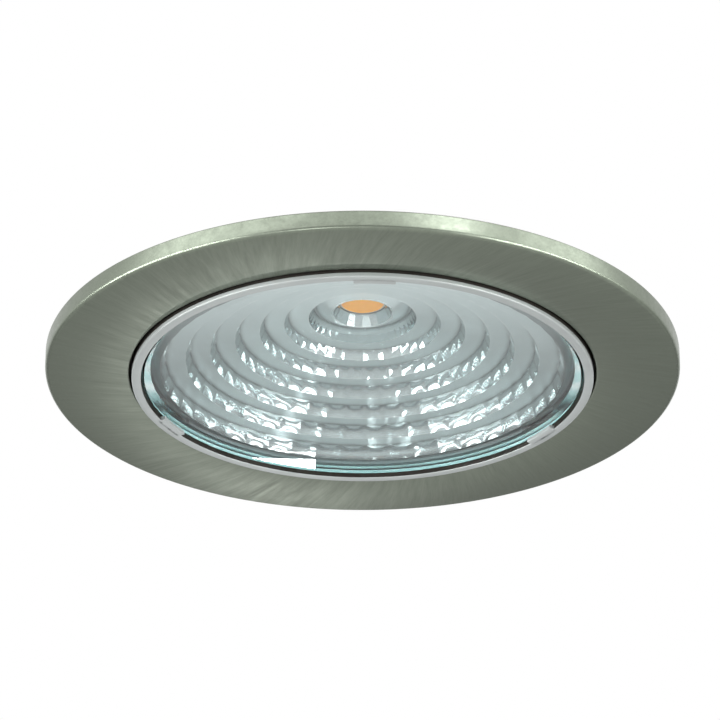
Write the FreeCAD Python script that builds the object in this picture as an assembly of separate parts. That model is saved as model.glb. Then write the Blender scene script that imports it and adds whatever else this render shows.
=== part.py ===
import FreeCAD, Part
import math
import os

from FreeCAD import Vector

# Recessed soffit downlight, in millimetres, +Z up.
# The origin is the centre of the soffit plane: the trim's back and the gasket meet the underside
# of the board at z = 0, the light faces down, and the body and its clips stand above.

# ---------------------------------------------------------------- driving dimensions

# body and trim
spigot_radius = 51.0          # the body where it passes through the hole in the board
trim_overlap = 9.0            # how far the trim reaches past that hole, all round
flange_width = 6.9            # body flange between its outer wall and the trim's bore
flange_height = 4.5
trim_height = 3.7             # from the face's outer edge to the soffit plane
trim_dish = 0.3               # the face rises this much towards its bore
trim_plate = 1.6
trim_rim_wall = 1.6
trim_edge_rounding = 0.5
bore_edge_rounding = 0.25
gasket_clearance = 0.3
land_inset = 0.6              # the trim's land ends this far inside the spigot's wall

# front ring and glass
ring_gap = 0.4                # dark line between the ring and the trim
ring_width = 1.75
ring_edge_rounding = 0.2
ring_lip = 0.78               # the ring's face stands this far below the glass
ring_fit = 0.05
ring_spigot_height = 1.4
ring_shoulder_gap = 0.1
lug_count = 3
lug_length = 7.5
lug_reach = 1.0
pattern_angle = 33.0          # lugs and windows, from +X towards +Y
glass_proud = 0.1             # glass front below the trim's face
glass_thickness = 4.0
glass_clearance = 0.15
front_arris = 0.45
back_bevel = 1.6
seal_section_radius = 0.5
seal_squeeze_gap = 0.02

# stepped reflector
facet_count = 48
step_count = 7
first_crest_radius = 10.3
ledge_width = 2.6             # from the last crest to the skirt
ledge_rise = 1.9
bowl_depth = 11.6             # from the last crest up to the first
bowl_power = 1.2              # 1 is a straight cone, more is a rounder bowl
riser_lean = 0.9
tread_rise = 0.45
reflector_wall = 0.8
reflector_glass_gap = 0.1
neck_crest_radius = 5.25
neck_crest_rise = 1.1         # neck crest above the first crest
neck_tread_rise = 1.7
skirt_wall = 0.95
skirt_clearance = 0.1
window_length = 10.6
window_head_gap = 0.1
window_corner = 0.5

# light source
emitter_radius = 4.5
emitter_height = 0.35
emitter_clearance = 0.1
board_side = 21.0
board_thickness = 1.0
board_gap = 0.15
pad_thickness = 0.2
board_screw_inset = 1.3
board_screw_radius = 1.0
board_screw_head_radius = 1.6
board_screw_head_height = 1.1
board_screw_length = 1.6      # thread in the deck
lead_radius = 0.55
lead_spacing = 2.4
lead_inset = 3.1              # from the board's side to where a lead ends
lead_end_depth = 1.2          # from the board's edge to where a lead ends
lead_bend_share = 0.45        # of the shorter run

# heat sink
cavity_gap = 0.7
cavity_head_gap = 1.0
cavity_corner_gap = 0.6
shell_rise = 2.2              # thickness of the cone, measured upwards
deck_thickness = 2.35
deck_radius = 21.0
fin_thickness = 1.3
fin_pitch_angle = 10.0
fin_clear_angle = 25.0        # the first fin, counted from each clip
fin_outer_inset = 6.4         # from the spigot's wall
fin_head_height = 1.2         # above the deck
fin_foot_height = 3.4         # above the flange
pad_width = 17.0
pad_behind = 5.0              # from the pin towards the axis
pad_ahead = 7.5               # from the pin outwards
pad_height = 12.0

# screws
screw_rounding_share = 0.35   # of the head's smaller side
screw_recess_share = 0.3      # of the head's height
trim_screw_count = 3
trim_screw_radius = 1.5
trim_screw_head_radius = 2.7
trim_screw_head_height = 1.9
trim_screw_sink = 2.2
trim_screw_bite = 2.2
screw_clearance = 0.05
head_clearance = 0.2

# cable gland
gland_offset = 16.5
gland_thread_radius = 5.95
gland_boss_radius = 9.6
gland_hex_width = 15.0
gland_shank_length = 3.4
gland_washer_thickness = 0.8
gland_washer_radius = 8.2
gland_hex_height = 3.5
gland_collar_height = 4.5
gland_bore_radius = 3.6
gland_insert_radius = 5.0
gland_insert_depth = 4.0
gland_insert_stand = 1.0      # above the collar
gland_insert_chamfer = 0.8
gland_nut_height = 6.6
gland_nut_gap = 0.4
gland_nut_wall = 1.4
gland_nut_mouth_radius = 4.1
gland_nut_shoulder_share = 0.6
gland_collar_wall = 1.0
cable_radius = 3.0

# spring clips
clip_pin_inset = 15.0         # from the spigot's wall
clip_pin_rise = 3.2           # above the bracket's base
clip_pin_radius = 1.2
pin_head_radius = 2.0
pin_head_thickness = 0.7
pin_fit = 0.03
running_gap = 0.06
circlip_radius = 2.1
circlip_thickness = 0.5
circlip_groove = 0.3
circlip_mouth = 1.3
circlip_gap = 0.1
circlip_play = 0.02
pin_end = 0.5
bracket_sheet = 1.0
bracket_inner_width = 12.0
bracket_ear_radius = 2.6
bracket_ear_length = 7.0
bracket_screw_inset = 2.0
bracket_screw_spread = 2.5
bracket_screw_radius = 1.25
bracket_screw_head_radius = 1.9
bracket_screw_head_height = 1.0
bracket_screw_bite = 5.0
arm_sheet = 0.9
arm_side_gap = 0.5
arm_eye_radius = 2.5
arm_start = 3.3               # strip starts this far out from the pin
arm_start_rise = -0.1
arm_knee_inset = 1.7          # inside the spigot's wall
arm_knee_drop = 3.0
arm_foot_overhang = 4.0       # outside the spigot's wall
arm_foot_height = 5.1         # above the soffit plane
arm_tip_overhang = 6.2
arm_tip_height = 3.7
arm_bend_radius = 1.4
arm_heel_gap = 0.3
arm_web_share = 0.12          # of the first run, where the side plates leave the strip
arm_heel_width = 1.8
sleeve_wall = 0.8
sleeve_clearance = 0.02
sleeve_length = 5.5
spring_wire_radius = 0.42
spring_coil_radius = 2.15
spring_turns = 5
spring_pitch = 1.05
spring_leg_length = 8.0

# ---------------------------------------------------------------- sizes that follow

trim_radius = spigot_radius + trim_overlap
trim_bore = spigot_radius - flange_width
land_radius = spigot_radius - land_inset
ring_outer = trim_bore - ring_gap
ring_inner = ring_outer - ring_width
glass_radius = ring_inner - glass_clearance
skirt_outer = ring_inner - skirt_clearance
skirt_inner = skirt_outer - skirt_wall

face_z = -trim_height
bore_edge_z = face_z + trim_dish
glass_front = face_z - glass_proud
glass_back = glass_front + glass_thickness
ring_face = glass_front - ring_lip

last_crest_radius = skirt_inner - ledge_width
last_crest_z = glass_back + reflector_glass_gap
first_crest_z = last_crest_z + bowl_depth
neck_crest_z = first_crest_z + neck_crest_rise
neck_valley_z = neck_crest_z + neck_tread_rise
ledge_z = last_crest_z + ledge_rise
rim_top = ledge_z + reflector_wall
reflector_top = neck_valley_z + reflector_wall
neck_radius = emitter_radius + emitter_clearance

board_front = reflector_top + board_gap
board_back = board_front + board_thickness
deck_under = board_back + pad_thickness
deck_top = deck_under + deck_thickness

ring_spigot_radius = (ring_outer + ring_inner) / 2 - ring_fit
body_bore = ring_spigot_radius + ring_fit
trim_screw_reach = (trim_bore + spigot_radius) / 2 + ring_gap
fin_outer = spigot_radius - fin_outer_inset
gland_foot = deck_top + gland_washer_thickness
gland_hex_top = gland_foot + gland_hex_height
gland_collar_top = gland_hex_top + gland_collar_height
gland_collar_radius = gland_insert_radius + gland_collar_wall
gland_nut_top = gland_hex_top + gland_nut_gap + gland_nut_height
clip_pin_reach = spigot_radius - clip_pin_inset
pad_inner_reach = clip_pin_reach - pad_behind
pad_outer_reach = clip_pin_reach + pad_ahead
bracket_base_top = pad_height + bracket_sheet
pin_z = bracket_base_top + clip_pin_rise


# ---------------------------------------------------------------- helpers


def revolve(outline):
    """Turn a closed outline of (radius, height) points into a solid of revolution about Z."""
    points = [Vector(radius, 0, height) for radius, height in outline]
    face = Part.Face(Part.makePolygon(points + points[:1]))
    return face.revolve(Vector(0, 0, 0), Vector(0, 0, 1), 360)


def cylinder(radius, low, high, x=0.0, y=0.0):
    """Upright cylinder between two heights."""
    return Part.makeCylinder(radius, high - low, Vector(x, y, low))


def tube(inner, outer, low, high, x=0.0, y=0.0):
    """Upright ring with flat ends."""
    return cylinder(outer, low, high, x, y).cut(cylinder(inner, low - 1, high + 1, x, y))


def block(x_range, y_range, z_range):
    """Box between the given pairs of coordinates."""
    size = [high - low for low, high in (x_range, y_range, z_range)]
    return Part.makeBox(*size, Vector(x_range[0], y_range[0], z_range[0]))


def hexagon(width, low, high, x=0.0, y=0.0):
    """Upright hexagonal prism, measured across its flats."""
    corner = width / 2 / math.cos(math.pi / 6)
    points = [
        Vector(x + corner * math.cos(math.radians(60 * i)), y + corner * math.sin(math.radians(60 * i)), low)
        for i in range(7)
    ]
    return Part.Face(Part.makePolygon(points)).extrude(Vector(0, 0, high - low))


def turned(shape, angle):
    """Copy of a shape, turned about the object's axis."""
    copy = shape.copy()
    copy.rotate(Vector(0, 0, 0), Vector(0, 0, 1), angle)
    return copy


def around(shape, count, first_angle):
    """Evenly spaced copies about the object's axis."""
    return [turned(shape, first_angle + 360.0 * i / count) for i in range(count)]


def round_edges(shape, radius, wanted):
    """Fillet the edges that the test picks."""
    edges = [edge for edge in shape.Edges if wanted(edge)]
    return shape.makeFillet(radius, edges)


def circle_at(radius, height):
    """Test for a full circular edge about Z with this radius and height."""

    def test(edge):
        box = edge.BoundBox
        same_height = abs(box.ZMin - height) < 1e-4 and abs(box.ZMax - height) < 1e-4
        return same_height and abs(box.XMax - radius) < 1e-3

    return test


def save(name, shape):
    """Write one node."""
    shape.exportStep("parts/" + name + ".step")


# ---------------------------------------------------------------- trim, gasket, ring, glass


def trim_screw_places():
    """Angles of the screws that hold the trim, one of them straight behind."""
    return [90.0 + 360.0 * i / trim_screw_count for i in range(trim_screw_count)]


def trim_ring():
    rim_inner = trim_radius - trim_rim_wall
    outline = [
        (trim_bore, 0),
        (trim_bore, bore_edge_z),
        (trim_radius, face_z),
        (trim_radius, 0),
        (rim_inner, 0),
        (rim_inner, face_z + trim_plate),
        (land_radius, face_z + trim_plate),
        (land_radius, 0),
    ]
    ring = revolve(outline)
    ring = round_edges(ring, trim_edge_rounding, circle_at(trim_radius, face_z))
    ring = round_edges(ring, bore_edge_rounding, circle_at(trim_bore, bore_edge_z))
    hole = cylinder(trim_screw_radius + screw_clearance, -trim_screw_bite - screw_clearance, 1, trim_screw_reach)
    for angle in trim_screw_places():
        ring = ring.cut(turned(hole, angle))
    return ring


def soffit_gasket():
    inner = spigot_radius + gasket_clearance
    outer = trim_radius - trim_rim_wall - gasket_clearance
    return tube(inner, outer, face_z + trim_plate, 0)


def sector_block(inner, outer, length, low, high, corner=0.0):
    """Block across +X that reaches from one radius to the other, with rounded upper corners."""
    shape = block((inner, outer), (-length / 2, length / 2), (low, high))
    if corner:
        shape = round_edges(
            shape,
            corner,
            lambda edge: abs(edge.BoundBox.ZMin - high) < 1e-6 and edge.BoundBox.XLength > 0.9 * (outer - inner),
        )
    return shape


def retaining_ring():
    shoulder = -ring_shoulder_gap
    outline = [
        (ring_inner, ring_face),
        (ring_outer, ring_face),
        (ring_outer, shoulder),
        (ring_spigot_radius, shoulder),
        (ring_spigot_radius, ring_spigot_height),
        (ring_inner, ring_spigot_height),
    ]
    ring = revolve(outline)
    ring = round_edges(ring, ring_edge_rounding, circle_at(ring_outer, ring_face))
    lug_inner = ring_inner - lug_reach
    lug = sector_block(lug_inner - 1, ring_inner + ring_width / 2, lug_length, ring_face, glass_front)
    lug = lug.cut(cylinder(lug_inner, ring_face - 1, glass_front + 1))
    for copy in around(lug, lug_count, pattern_angle):
        ring = ring.fuse(copy)
    return ring.removeSplitter()


def front_glass():
    outline = [
        (0, glass_front),
        (glass_radius - front_arris, glass_front),
        (glass_radius, glass_front + front_arris),
        (glass_radius, glass_back - back_bevel),
        (glass_radius - back_bevel, glass_back),
        (0, glass_back),
    ]
    return revolve(outline)


def seal_centre():
    """Radius and height of the seal, which lies between the glass's bevel and the ring's wall."""
    radius = ring_inner - seal_section_radius - seal_squeeze_gap
    along_bevel = glass_radius - back_bevel + glass_back
    off_bevel = (seal_section_radius + seal_squeeze_gap) * math.sqrt(2)
    return radius, along_bevel + off_bevel - radius


def glass_seal():
    radius, height = seal_centre()
    return Part.makeTorus(radius, seal_section_radius, Vector(0, 0, height))


# ---------------------------------------------------------------- reflector


def crest(step):
    """Radius and height of a ring's sharp lower edge; step 1 is next to the neck."""
    share = (step - 1) / (step_count - 1)
    radius = first_crest_radius + (last_crest_radius - first_crest_radius) * share
    return radius, first_crest_z - bowl_depth * share**bowl_power


def valley(step):
    """Radius and height of the top of a ring's riser, where the tread inside it ends."""
    radius = crest(step)[0] - riser_lean
    if step == 1:
        return radius, neck_valley_z
    return radius, crest(step - 1)[1] + tread_rise


def facet_points(radius, height):
    """Corners of the many-sided outline at one level."""
    half_facet = 180.0 / facet_count
    angles = [math.radians(pattern_angle + half_facet + 360.0 * i / facet_count) for i in range(facet_count)]
    return [Vector(radius * math.cos(angle), radius * math.sin(angle), height) for angle in angles]


def faceted_bowl(levels):
    """Closed solid with flat facets between one many-sided level and the next."""
    rings = [facet_points(radius, height) for radius, height in levels]
    faces = [Part.Face(Part.makePolygon(ring + ring[:1])) for ring in (rings[0], rings[-1])]
    for above, below in zip(rings, rings[1:]):
        for i in range(facet_count):
            after = (i + 1) % facet_count
            corners = [above[i], above[after], below[after], below[i], above[i]]
            faces.append(Part.Face(Part.makePolygon(corners)))
    return Part.Solid(Part.Shell(faces))


def reflector_levels():
    """Inside of the reflector from the light source out to its skirt."""
    levels = [(neck_radius, reflector_top + 1), (neck_radius, board_front - emitter_height)]
    levels.append((neck_crest_radius, neck_crest_z))
    for step in range(1, step_count + 1):
        levels.append(valley(step))
        levels.append(crest(step))
    levels.append((skirt_inner, ledge_z))
    levels.append((skirt_inner, glass_front))
    return levels


def reflector():
    seal_height = seal_centre()[1]
    foot = seal_height + seal_section_radius + seal_squeeze_gap
    outline = [(0, foot), (skirt_outer, foot), (skirt_outer, rim_top)]
    height = rim_top
    for step in range(step_count, 0, -1):
        wall_radius = crest(step)[0] + reflector_wall
        outline.append((wall_radius, height))
        height = valley(step)[1] + reflector_wall
        outline.append((wall_radius, height))
    outline.append((0, height))
    shape = revolve(outline).cut(faceted_bowl(reflector_levels()))
    window = sector_block(
        skirt_inner - 1, skirt_outer + 1, window_length, foot - 1, ledge_z - window_head_gap, window_corner
    )
    for copy in around(window, lug_count, pattern_angle):
        shape = shape.cut(copy)
    return shape


# ---------------------------------------------------------------- light source


def board_screw_places():
    """The two screws stand at the board's near corners, the leads at its far ones."""
    reach = board_side / 2 - board_screw_inset
    return [(-reach, -reach), (reach, -reach)]


def board_sheet(low, high, hole_radius):
    half = board_side / 2
    sheet = block((-half, half), (-half, half), (low, high))
    for x, y in board_screw_places():
        sheet = sheet.cut(cylinder(hole_radius, low - 1, high + 1, x, y))
    return sheet


def led_board():
    return board_sheet(board_front, board_back, board_screw_radius + screw_clearance)


def thermal_pad():
    return board_sheet(board_back, deck_under, board_screw_radius + screw_clearance)


def led_emitter():
    return cylinder(emitter_radius, board_front - emitter_height, board_front)


def pan_screw(shank_radius, head_radius, head_height, seat, tip, x=0.0, y=0.0):
    """Screw whose head sits on a face at the height of seat and whose tip lies at another height."""
    out = 1 if tip < seat else -1
    shank = cylinder(shank_radius, min(seat, tip), max(seat, tip), x, y)
    crown = seat + out * head_height
    head = cylinder(head_radius, min(seat, crown), max(seat, crown), x, y)
    rounding = screw_rounding_share * min(head_height, head_radius)
    head = round_edges(head, rounding, lambda edge: abs(edge.BoundBox.ZMin - crown) < 1e-6 and edge.Closed)
    floor = crown - out * screw_recess_share * head_height
    recess = hexagon(head_radius, min(crown, floor), max(crown, floor), x, y)
    return head.cut(recess).fuse(shank).removeSplitter()


def board_screws():
    tip = deck_under + board_screw_length
    return Part.makeCompound(
        [
            pan_screw(board_screw_radius, board_screw_head_radius, board_screw_head_height, board_front, tip, x, y)
            for x, y in board_screw_places()
        ]
    )


def bent_wire(start, corner, end, radius):
    """Round wire along two runs that meet in a tangent arc."""
    first, second = corner - start, end - corner
    bend = lead_bend_share * min(first.Length, second.Length)
    turn = first.getAngle(second)
    before = corner - first.normalize() * bend
    after = corner + second.normalize() * bend
    sag = bend * math.tan(turn / 4)
    middle = (before + after) * 0.5 + (corner - (before + after) * 0.5).normalize() * sag * math.cos(turn / 2)
    path = Part.Wire(
        [
            Part.LineSegment(start, before).toShape(),
            Part.Arc(before, middle, after).toShape(),
            Part.LineSegment(after, end).toShape(),
        ]
    )
    section = Part.Wire([Part.Circle(start, corner - start, radius).toShape()])
    return path.makePipeShell([section], True, True)


def led_leads():
    """Two insulated leads from the gland's bore to the board's face."""
    height = board_front - lead_radius
    wires = []
    for side in (-1, 1):
        drop = Vector(side * lead_spacing / 2, gland_offset, deck_top)
        corner = Vector(side * lead_spacing / 2, gland_offset, height)
        end = Vector(side * (board_side / 2 - lead_inset), board_side / 2 - lead_end_depth, height)
        wires.append(bent_wire(drop, corner, end, lead_radius))
    return Part.makeCompound(wires)


# ---------------------------------------------------------------- heat sink


def cavity_foot():
    """Radius and height where the hollow's cone starts, just clear of the outermost step."""
    radius = last_crest_radius + reflector_wall + cavity_gap
    return radius, valley(step_count)[1] + reflector_wall + cavity_head_gap


def cavity_head_radius():
    return board_side / math.sqrt(2) + cavity_corner_gap


def cone_slope():
    foot_radius, foot_height = cavity_foot()
    return (deck_under - foot_height) / (foot_radius - cavity_head_radius())


def hollow():
    """Space for the reflector and the light source, open at the bottom."""
    foot_radius, foot_height = cavity_foot()
    outline = [
        (0, -1),
        (body_bore, -1),
        (body_bore, rim_top),
        (foot_radius, rim_top),
        (foot_radius, foot_height),
        (cavity_head_radius(), deck_under),
        (0, deck_under),
    ]
    return revolve(outline)


def shell_body():
    """Flange and cone without fins."""
    foot_radius, foot_height = cavity_foot()
    cone_height = foot_height + shell_rise
    skirt_reach = foot_radius + (cone_height - flange_height) / cone_slope()
    head_reach = foot_radius - (deck_top - cone_height) / cone_slope()
    outline = [
        (0, 0),
        (spigot_radius, 0),
        (spigot_radius, flange_height),
        (skirt_reach, flange_height),
        (head_reach, deck_top),
        (0, deck_top),
    ]
    return revolve(outline)


def fin():
    """Upright radial fin along +X."""
    inner = deck_radius - fin_thickness
    head, foot = deck_top + fin_head_height, flange_height + fin_foot_height
    outline = [(inner, deck_under), (inner, head), (deck_radius, head), (fin_outer, foot), (fin_outer, 1)]
    points = [Vector(x, -fin_thickness / 2, z) for x, z in outline]
    return Part.Face(Part.makePolygon(points + points[:1])).extrude(Vector(0, fin_thickness, 0))


def fin_angles():
    """Angles of all fins: none of them stands behind a clip."""
    angles = []
    angle = fin_clear_angle
    while angle <= 180 - fin_clear_angle + 1e-6:
        angles += [angle, angle + 180]
        angle += fin_pitch_angle
    return angles


def clip_pad():
    half = pad_width / 2
    return block((pad_inner_reach, pad_outer_reach), (-half, half), (flange_height - 1, pad_height))


def bracket_screw_places():
    reach = pad_outer_reach - bracket_screw_inset
    return [(reach, -bracket_screw_spread), (reach, bracket_screw_spread)]


def heat_sink():
    boss_low = flange_height
    shape = shell_body().multiFuse(
        [cylinder(deck_radius, deck_under - 1, deck_top), clip_pad(), turned(clip_pad(), 180)]
        + [cylinder(gland_boss_radius, boss_low, deck_top, 0, gland_offset)]
        + [turned(fin(), angle) for angle in fin_angles()]
    )
    holes = [hollow()]
    holes.append(cylinder(gland_thread_radius + screw_clearance, 0, deck_top + 1, 0, gland_offset))
    holes.append(cylinder(gland_boss_radius, deck_top, gland_nut_top, 0, gland_offset))
    drill = cylinder(trim_screw_radius + screw_clearance, -1, flange_height, trim_screw_reach)
    sink = cylinder(
        trim_screw_head_radius + head_clearance, flange_height - trim_screw_sink, pad_height, trim_screw_reach
    )
    for angle in trim_screw_places():
        holes += [turned(drill, angle), turned(sink, angle)]
    for x, y in board_screw_places():
        depth = board_screw_length + screw_clearance
        holes.append(cylinder(board_screw_radius + screw_clearance, deck_under - 1, deck_under + depth, x, y))
    for x, y in bracket_screw_places():
        depth = bracket_screw_bite + screw_clearance
        hole = cylinder(bracket_screw_radius + screw_clearance, pad_height - depth, pad_height + 1, x, y)
        holes += [hole, turned(hole, 180)]
    return shape.cut(holes).removeSplitter()


def trim_screws():
    seat = flange_height - trim_screw_sink
    screw = pan_screw(
        trim_screw_radius, trim_screw_head_radius, trim_screw_head_height, seat, -trim_screw_bite, trim_screw_reach
    )
    return Part.makeCompound([turned(screw, angle) for angle in trim_screw_places()])


# ---------------------------------------------------------------- cable gland


def gland_body():
    shape = cylinder(gland_thread_radius, deck_top - gland_shank_length, gland_foot, 0, gland_offset)
    shape = shape.fuse(hexagon(gland_hex_width, gland_foot, gland_hex_top, 0, gland_offset))
    shape = shape.fuse(cylinder(gland_collar_radius, gland_hex_top, gland_collar_top, 0, gland_offset))
    bore = cylinder(gland_bore_radius, 0, gland_collar_top + 1, 0, gland_offset)
    seat = cylinder(
        gland_insert_radius + ring_fit, gland_collar_top - gland_insert_depth, gland_collar_top + 1, 0, gland_offset
    )
    return shape.cut(bore).cut(seat).removeSplitter()


def gland_washer():
    return tube(gland_thread_radius + screw_clearance, gland_washer_radius, deck_top, gland_foot, 0, gland_offset)


def gland_insert():
    top = gland_collar_top + gland_insert_stand
    low = gland_collar_top - gland_insert_depth
    shape = tube(cable_radius, gland_insert_radius, low, top, 0, gland_offset)
    upper = [edge for edge in shape.Edges if edge.BoundBox.ZMin > top - 1e-6]
    outer = [edge for edge in upper if edge.BoundBox.XLength > 2 * cable_radius + 1]
    return shape.makeChamfer(gland_insert_chamfer, outer)


def gland_nut():
    low = gland_hex_top + gland_nut_gap
    top = gland_nut_top
    shoulder = low + gland_nut_shoulder_share * gland_nut_height
    dome = revolve(
        [
            (0, low),
            (gland_hex_width / 2 + 1, low),
            (gland_hex_width / 2 + 1, shoulder),
            (gland_nut_mouth_radius + gland_nut_wall, top),
            (0, top),
        ]
    )
    dome.translate(Vector(0, gland_offset, 0))
    shape = hexagon(gland_hex_width, low, top, 0, gland_offset).common(dome)
    inside = cylinder(
        gland_collar_radius + screw_clearance, low - 1, gland_collar_top + gland_insert_stand + 0.1, 0, gland_offset
    )
    mouth = cylinder(gland_nut_mouth_radius, low - 1, top + 1, 0, gland_offset)
    return shape.cut(inside).cut(mouth).removeSplitter()


# ---------------------------------------------------------------- spring clips, made on the +X side

bracket_outer_width = bracket_inner_width + 2 * bracket_sheet
arm_width = bracket_inner_width - 2 * arm_side_gap


def cross_cylinder(radius, y_low, y_high, x=clip_pin_reach, z=pin_z):
    """Cylinder along Y, on the clip's hinge line by default."""
    return Part.makeCylinder(radius, y_high - y_low, Vector(x, y_low, z), Vector(0, 1, 0))


def side_plate(outline, y_low, y_high):
    """Plate in an upright plane, given by (x, z) corners."""
    points = [Vector(x, y_low, z) for x, z in outline]
    return Part.Face(Part.makePolygon(points + points[:1])).extrude(Vector(0, y_high - y_low, 0))


def clip_bracket():
    half = bracket_outer_width / 2
    base_inner = clip_pin_reach - bracket_ear_length / 2
    shape = block((base_inner, pad_outer_reach), (-half, half), (pad_height, bracket_base_top))
    ear_low, ear_high = base_inner, clip_pin_reach + bracket_ear_length / 2
    for y_low in (-half, half - bracket_sheet):
        y_high = y_low + bracket_sheet
        outline = [
            (ear_low, pad_height),
            (ear_high, pad_height),
            (ear_high, bracket_base_top),
            (clip_pin_reach + bracket_ear_radius, pin_z),
            (clip_pin_reach - bracket_ear_radius, pin_z),
            (ear_low, bracket_base_top),
        ]
        shape = shape.fuse(side_plate(outline, y_low, y_high))
        shape = shape.fuse(cross_cylinder(bracket_ear_radius, y_low, y_high))
    shape = shape.cut(cross_cylinder(clip_pin_radius + pin_fit, -half - 1, half + 1))
    for x, y in bracket_screw_places():
        shape = shape.cut(cylinder(bracket_screw_radius + screw_clearance, 0, pin_z, x, y))
    return shape.removeSplitter()


def circlip_start():
    """Inner face of the circlip, just outside the bracket's ear."""
    return bracket_outer_width / 2 + circlip_gap


def hinge_pin():
    half = bracket_outer_width / 2
    end = circlip_start() + circlip_thickness + pin_end
    shape = cross_cylinder(clip_pin_radius, -half, end)
    shape = shape.fuse(cross_cylinder(pin_head_radius, -half - pin_head_thickness, -half))
    low = circlip_start() - circlip_play
    high = circlip_start() + circlip_thickness + circlip_play
    groove = cross_cylinder(clip_pin_radius + 1, low, high).cut(
        cross_cylinder(clip_pin_radius - circlip_groove, low - 1, high + 1)
    )
    return shape.cut(groove).removeSplitter()


def circlip():
    low, high = circlip_start(), circlip_start() + circlip_thickness
    ring = cross_cylinder(circlip_radius, low, high).cut(
        cross_cylinder(clip_pin_radius - circlip_groove + circlip_play, low - 1, high + 1)
    )
    mouth = block(
        (clip_pin_reach, clip_pin_reach + circlip_radius + 1),
        (low - 1, high + 1),
        (pin_z - circlip_mouth / 2, pin_z + circlip_mouth / 2),
    )
    return ring.cut(mouth)


def arm_path():
    """Middle line of the arm's strip, from beside the pin out and down to its tip."""
    return [
        (clip_pin_reach + arm_start, pin_z + arm_start_rise),
        (spigot_radius - arm_knee_inset, pin_z - arm_knee_drop),
        (spigot_radius + arm_foot_overhang, arm_foot_height),
        (spigot_radius + arm_tip_overhang, arm_tip_height),
    ]


def shifted_line(path, shift):
    """Line beside a path at an even distance, with mitred corners."""
    normals = []
    for (x0, z0), (x1, z1) in zip(path, path[1:]):
        length = math.hypot(x1 - x0, z1 - z0)
        normals.append((-(z1 - z0) / length, (x1 - x0) / length))
    line = []
    for i, (x, z) in enumerate(path):
        ahead = normals[min(i, len(normals) - 1)]
        behind = normals[max(i - 1, 0)]
        mitre = 1 + ahead[0] * behind[0] + ahead[1] * behind[1]
        line.append((x + shift * (ahead[0] + behind[0]) / mitre, z + shift * (ahead[1] + behind[1]) / mitre))
    return line


def strip(path, thickness, width):
    """Sheet strip that follows a path in the XZ plane."""
    outline = shifted_line(path, thickness / 2) + shifted_line(path, -thickness / 2)[::-1]
    return side_plate(outline, -width / 2, width / 2)


def round_bends(shape, path, radius, thickness):
    """Round a strip's bends, the outside by the sheet's thickness more than the inside."""
    for i in range(1, len(path) - 1):
        for side in (-1, 1):
            x, z = shifted_line(path, side * thickness / 2)[i]
            before, after = path[i - 1], path[i + 1]
            turn = (path[i][0] - before[0]) * (after[1] - path[i][1]) - (path[i][1] - before[1]) * (
                after[0] - path[i][0]
            )
            outside = side * turn < 0
            bend = radius + (thickness if outside else 0)

            def at_bend(edge):
                centre = edge.BoundBox.Center
                return math.hypot(centre.x - x, centre.z - z) < 1e-4 and edge.BoundBox.YLength > 1

            shape = round_edges(shape, bend, at_bend)
    return shape


def clip_arm():
    path = arm_path()
    shape = round_bends(strip(path, arm_sheet, arm_width), path, arm_bend_radius, arm_sheet)
    upper, lower = (shifted_line(path, side * arm_sheet / 2)[0] for side in (1, -1))
    heel_x = clip_pin_reach + arm_heel_width
    heel_z = bracket_base_top + arm_heel_gap
    along_x = path[0][0] + arm_web_share * (path[1][0] - path[0][0])
    along_z = path[0][1] + arm_web_share * (path[1][1] - path[0][1])
    outline = [
        (clip_pin_reach, pin_z + arm_eye_radius),
        upper,
        (along_x, along_z),
        lower,
        (heel_x, heel_z),
        (clip_pin_reach, heel_z),
    ]
    for y_low in (-arm_width / 2, arm_width / 2 - arm_sheet):
        y_high = y_low + arm_sheet
        shape = shape.fuse(side_plate(outline, y_low, y_high))
        shape = shape.fuse(cross_cylinder(arm_eye_radius, y_low, y_high))
    shape = shape.cut(cross_cylinder(clip_pin_radius + running_gap, -arm_width, arm_width))
    return shape.removeSplitter()


def sleeve_path():
    """Last stretch of the arm's path, which the sleeve covers."""
    knee, foot, tip = arm_path()[1:]
    length = math.hypot(foot[0] - knee[0], foot[1] - knee[1])
    share = min(sleeve_length, 0.8 * length) / length
    start = (foot[0] + share * (knee[0] - foot[0]), foot[1] + share * (knee[1] - foot[1]))
    run = math.hypot(tip[0] - foot[0], tip[1] - foot[1])
    end = (
        tip[0] + sleeve_wall * (tip[0] - foot[0]) / run,
        tip[1] + sleeve_wall * (tip[1] - foot[1]) / run,
    )
    return [start, foot, end]


def clip_sleeve():
    path = sleeve_path()
    outer = strip(path, arm_sheet + 2 * sleeve_wall, arm_width + 2 * sleeve_wall)
    outer = round_bends(outer, path, arm_bend_radius, arm_sheet + 2 * sleeve_wall)
    inside = [path[0], path[1], arm_path()[-1]]
    gap = 2 * sleeve_clearance
    pocket = round_bends(
        strip(inside, arm_sheet + gap, arm_width + gap), inside, arm_bend_radius - sleeve_clearance, arm_sheet + gap
    )
    return outer.cut(pocket)


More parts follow.
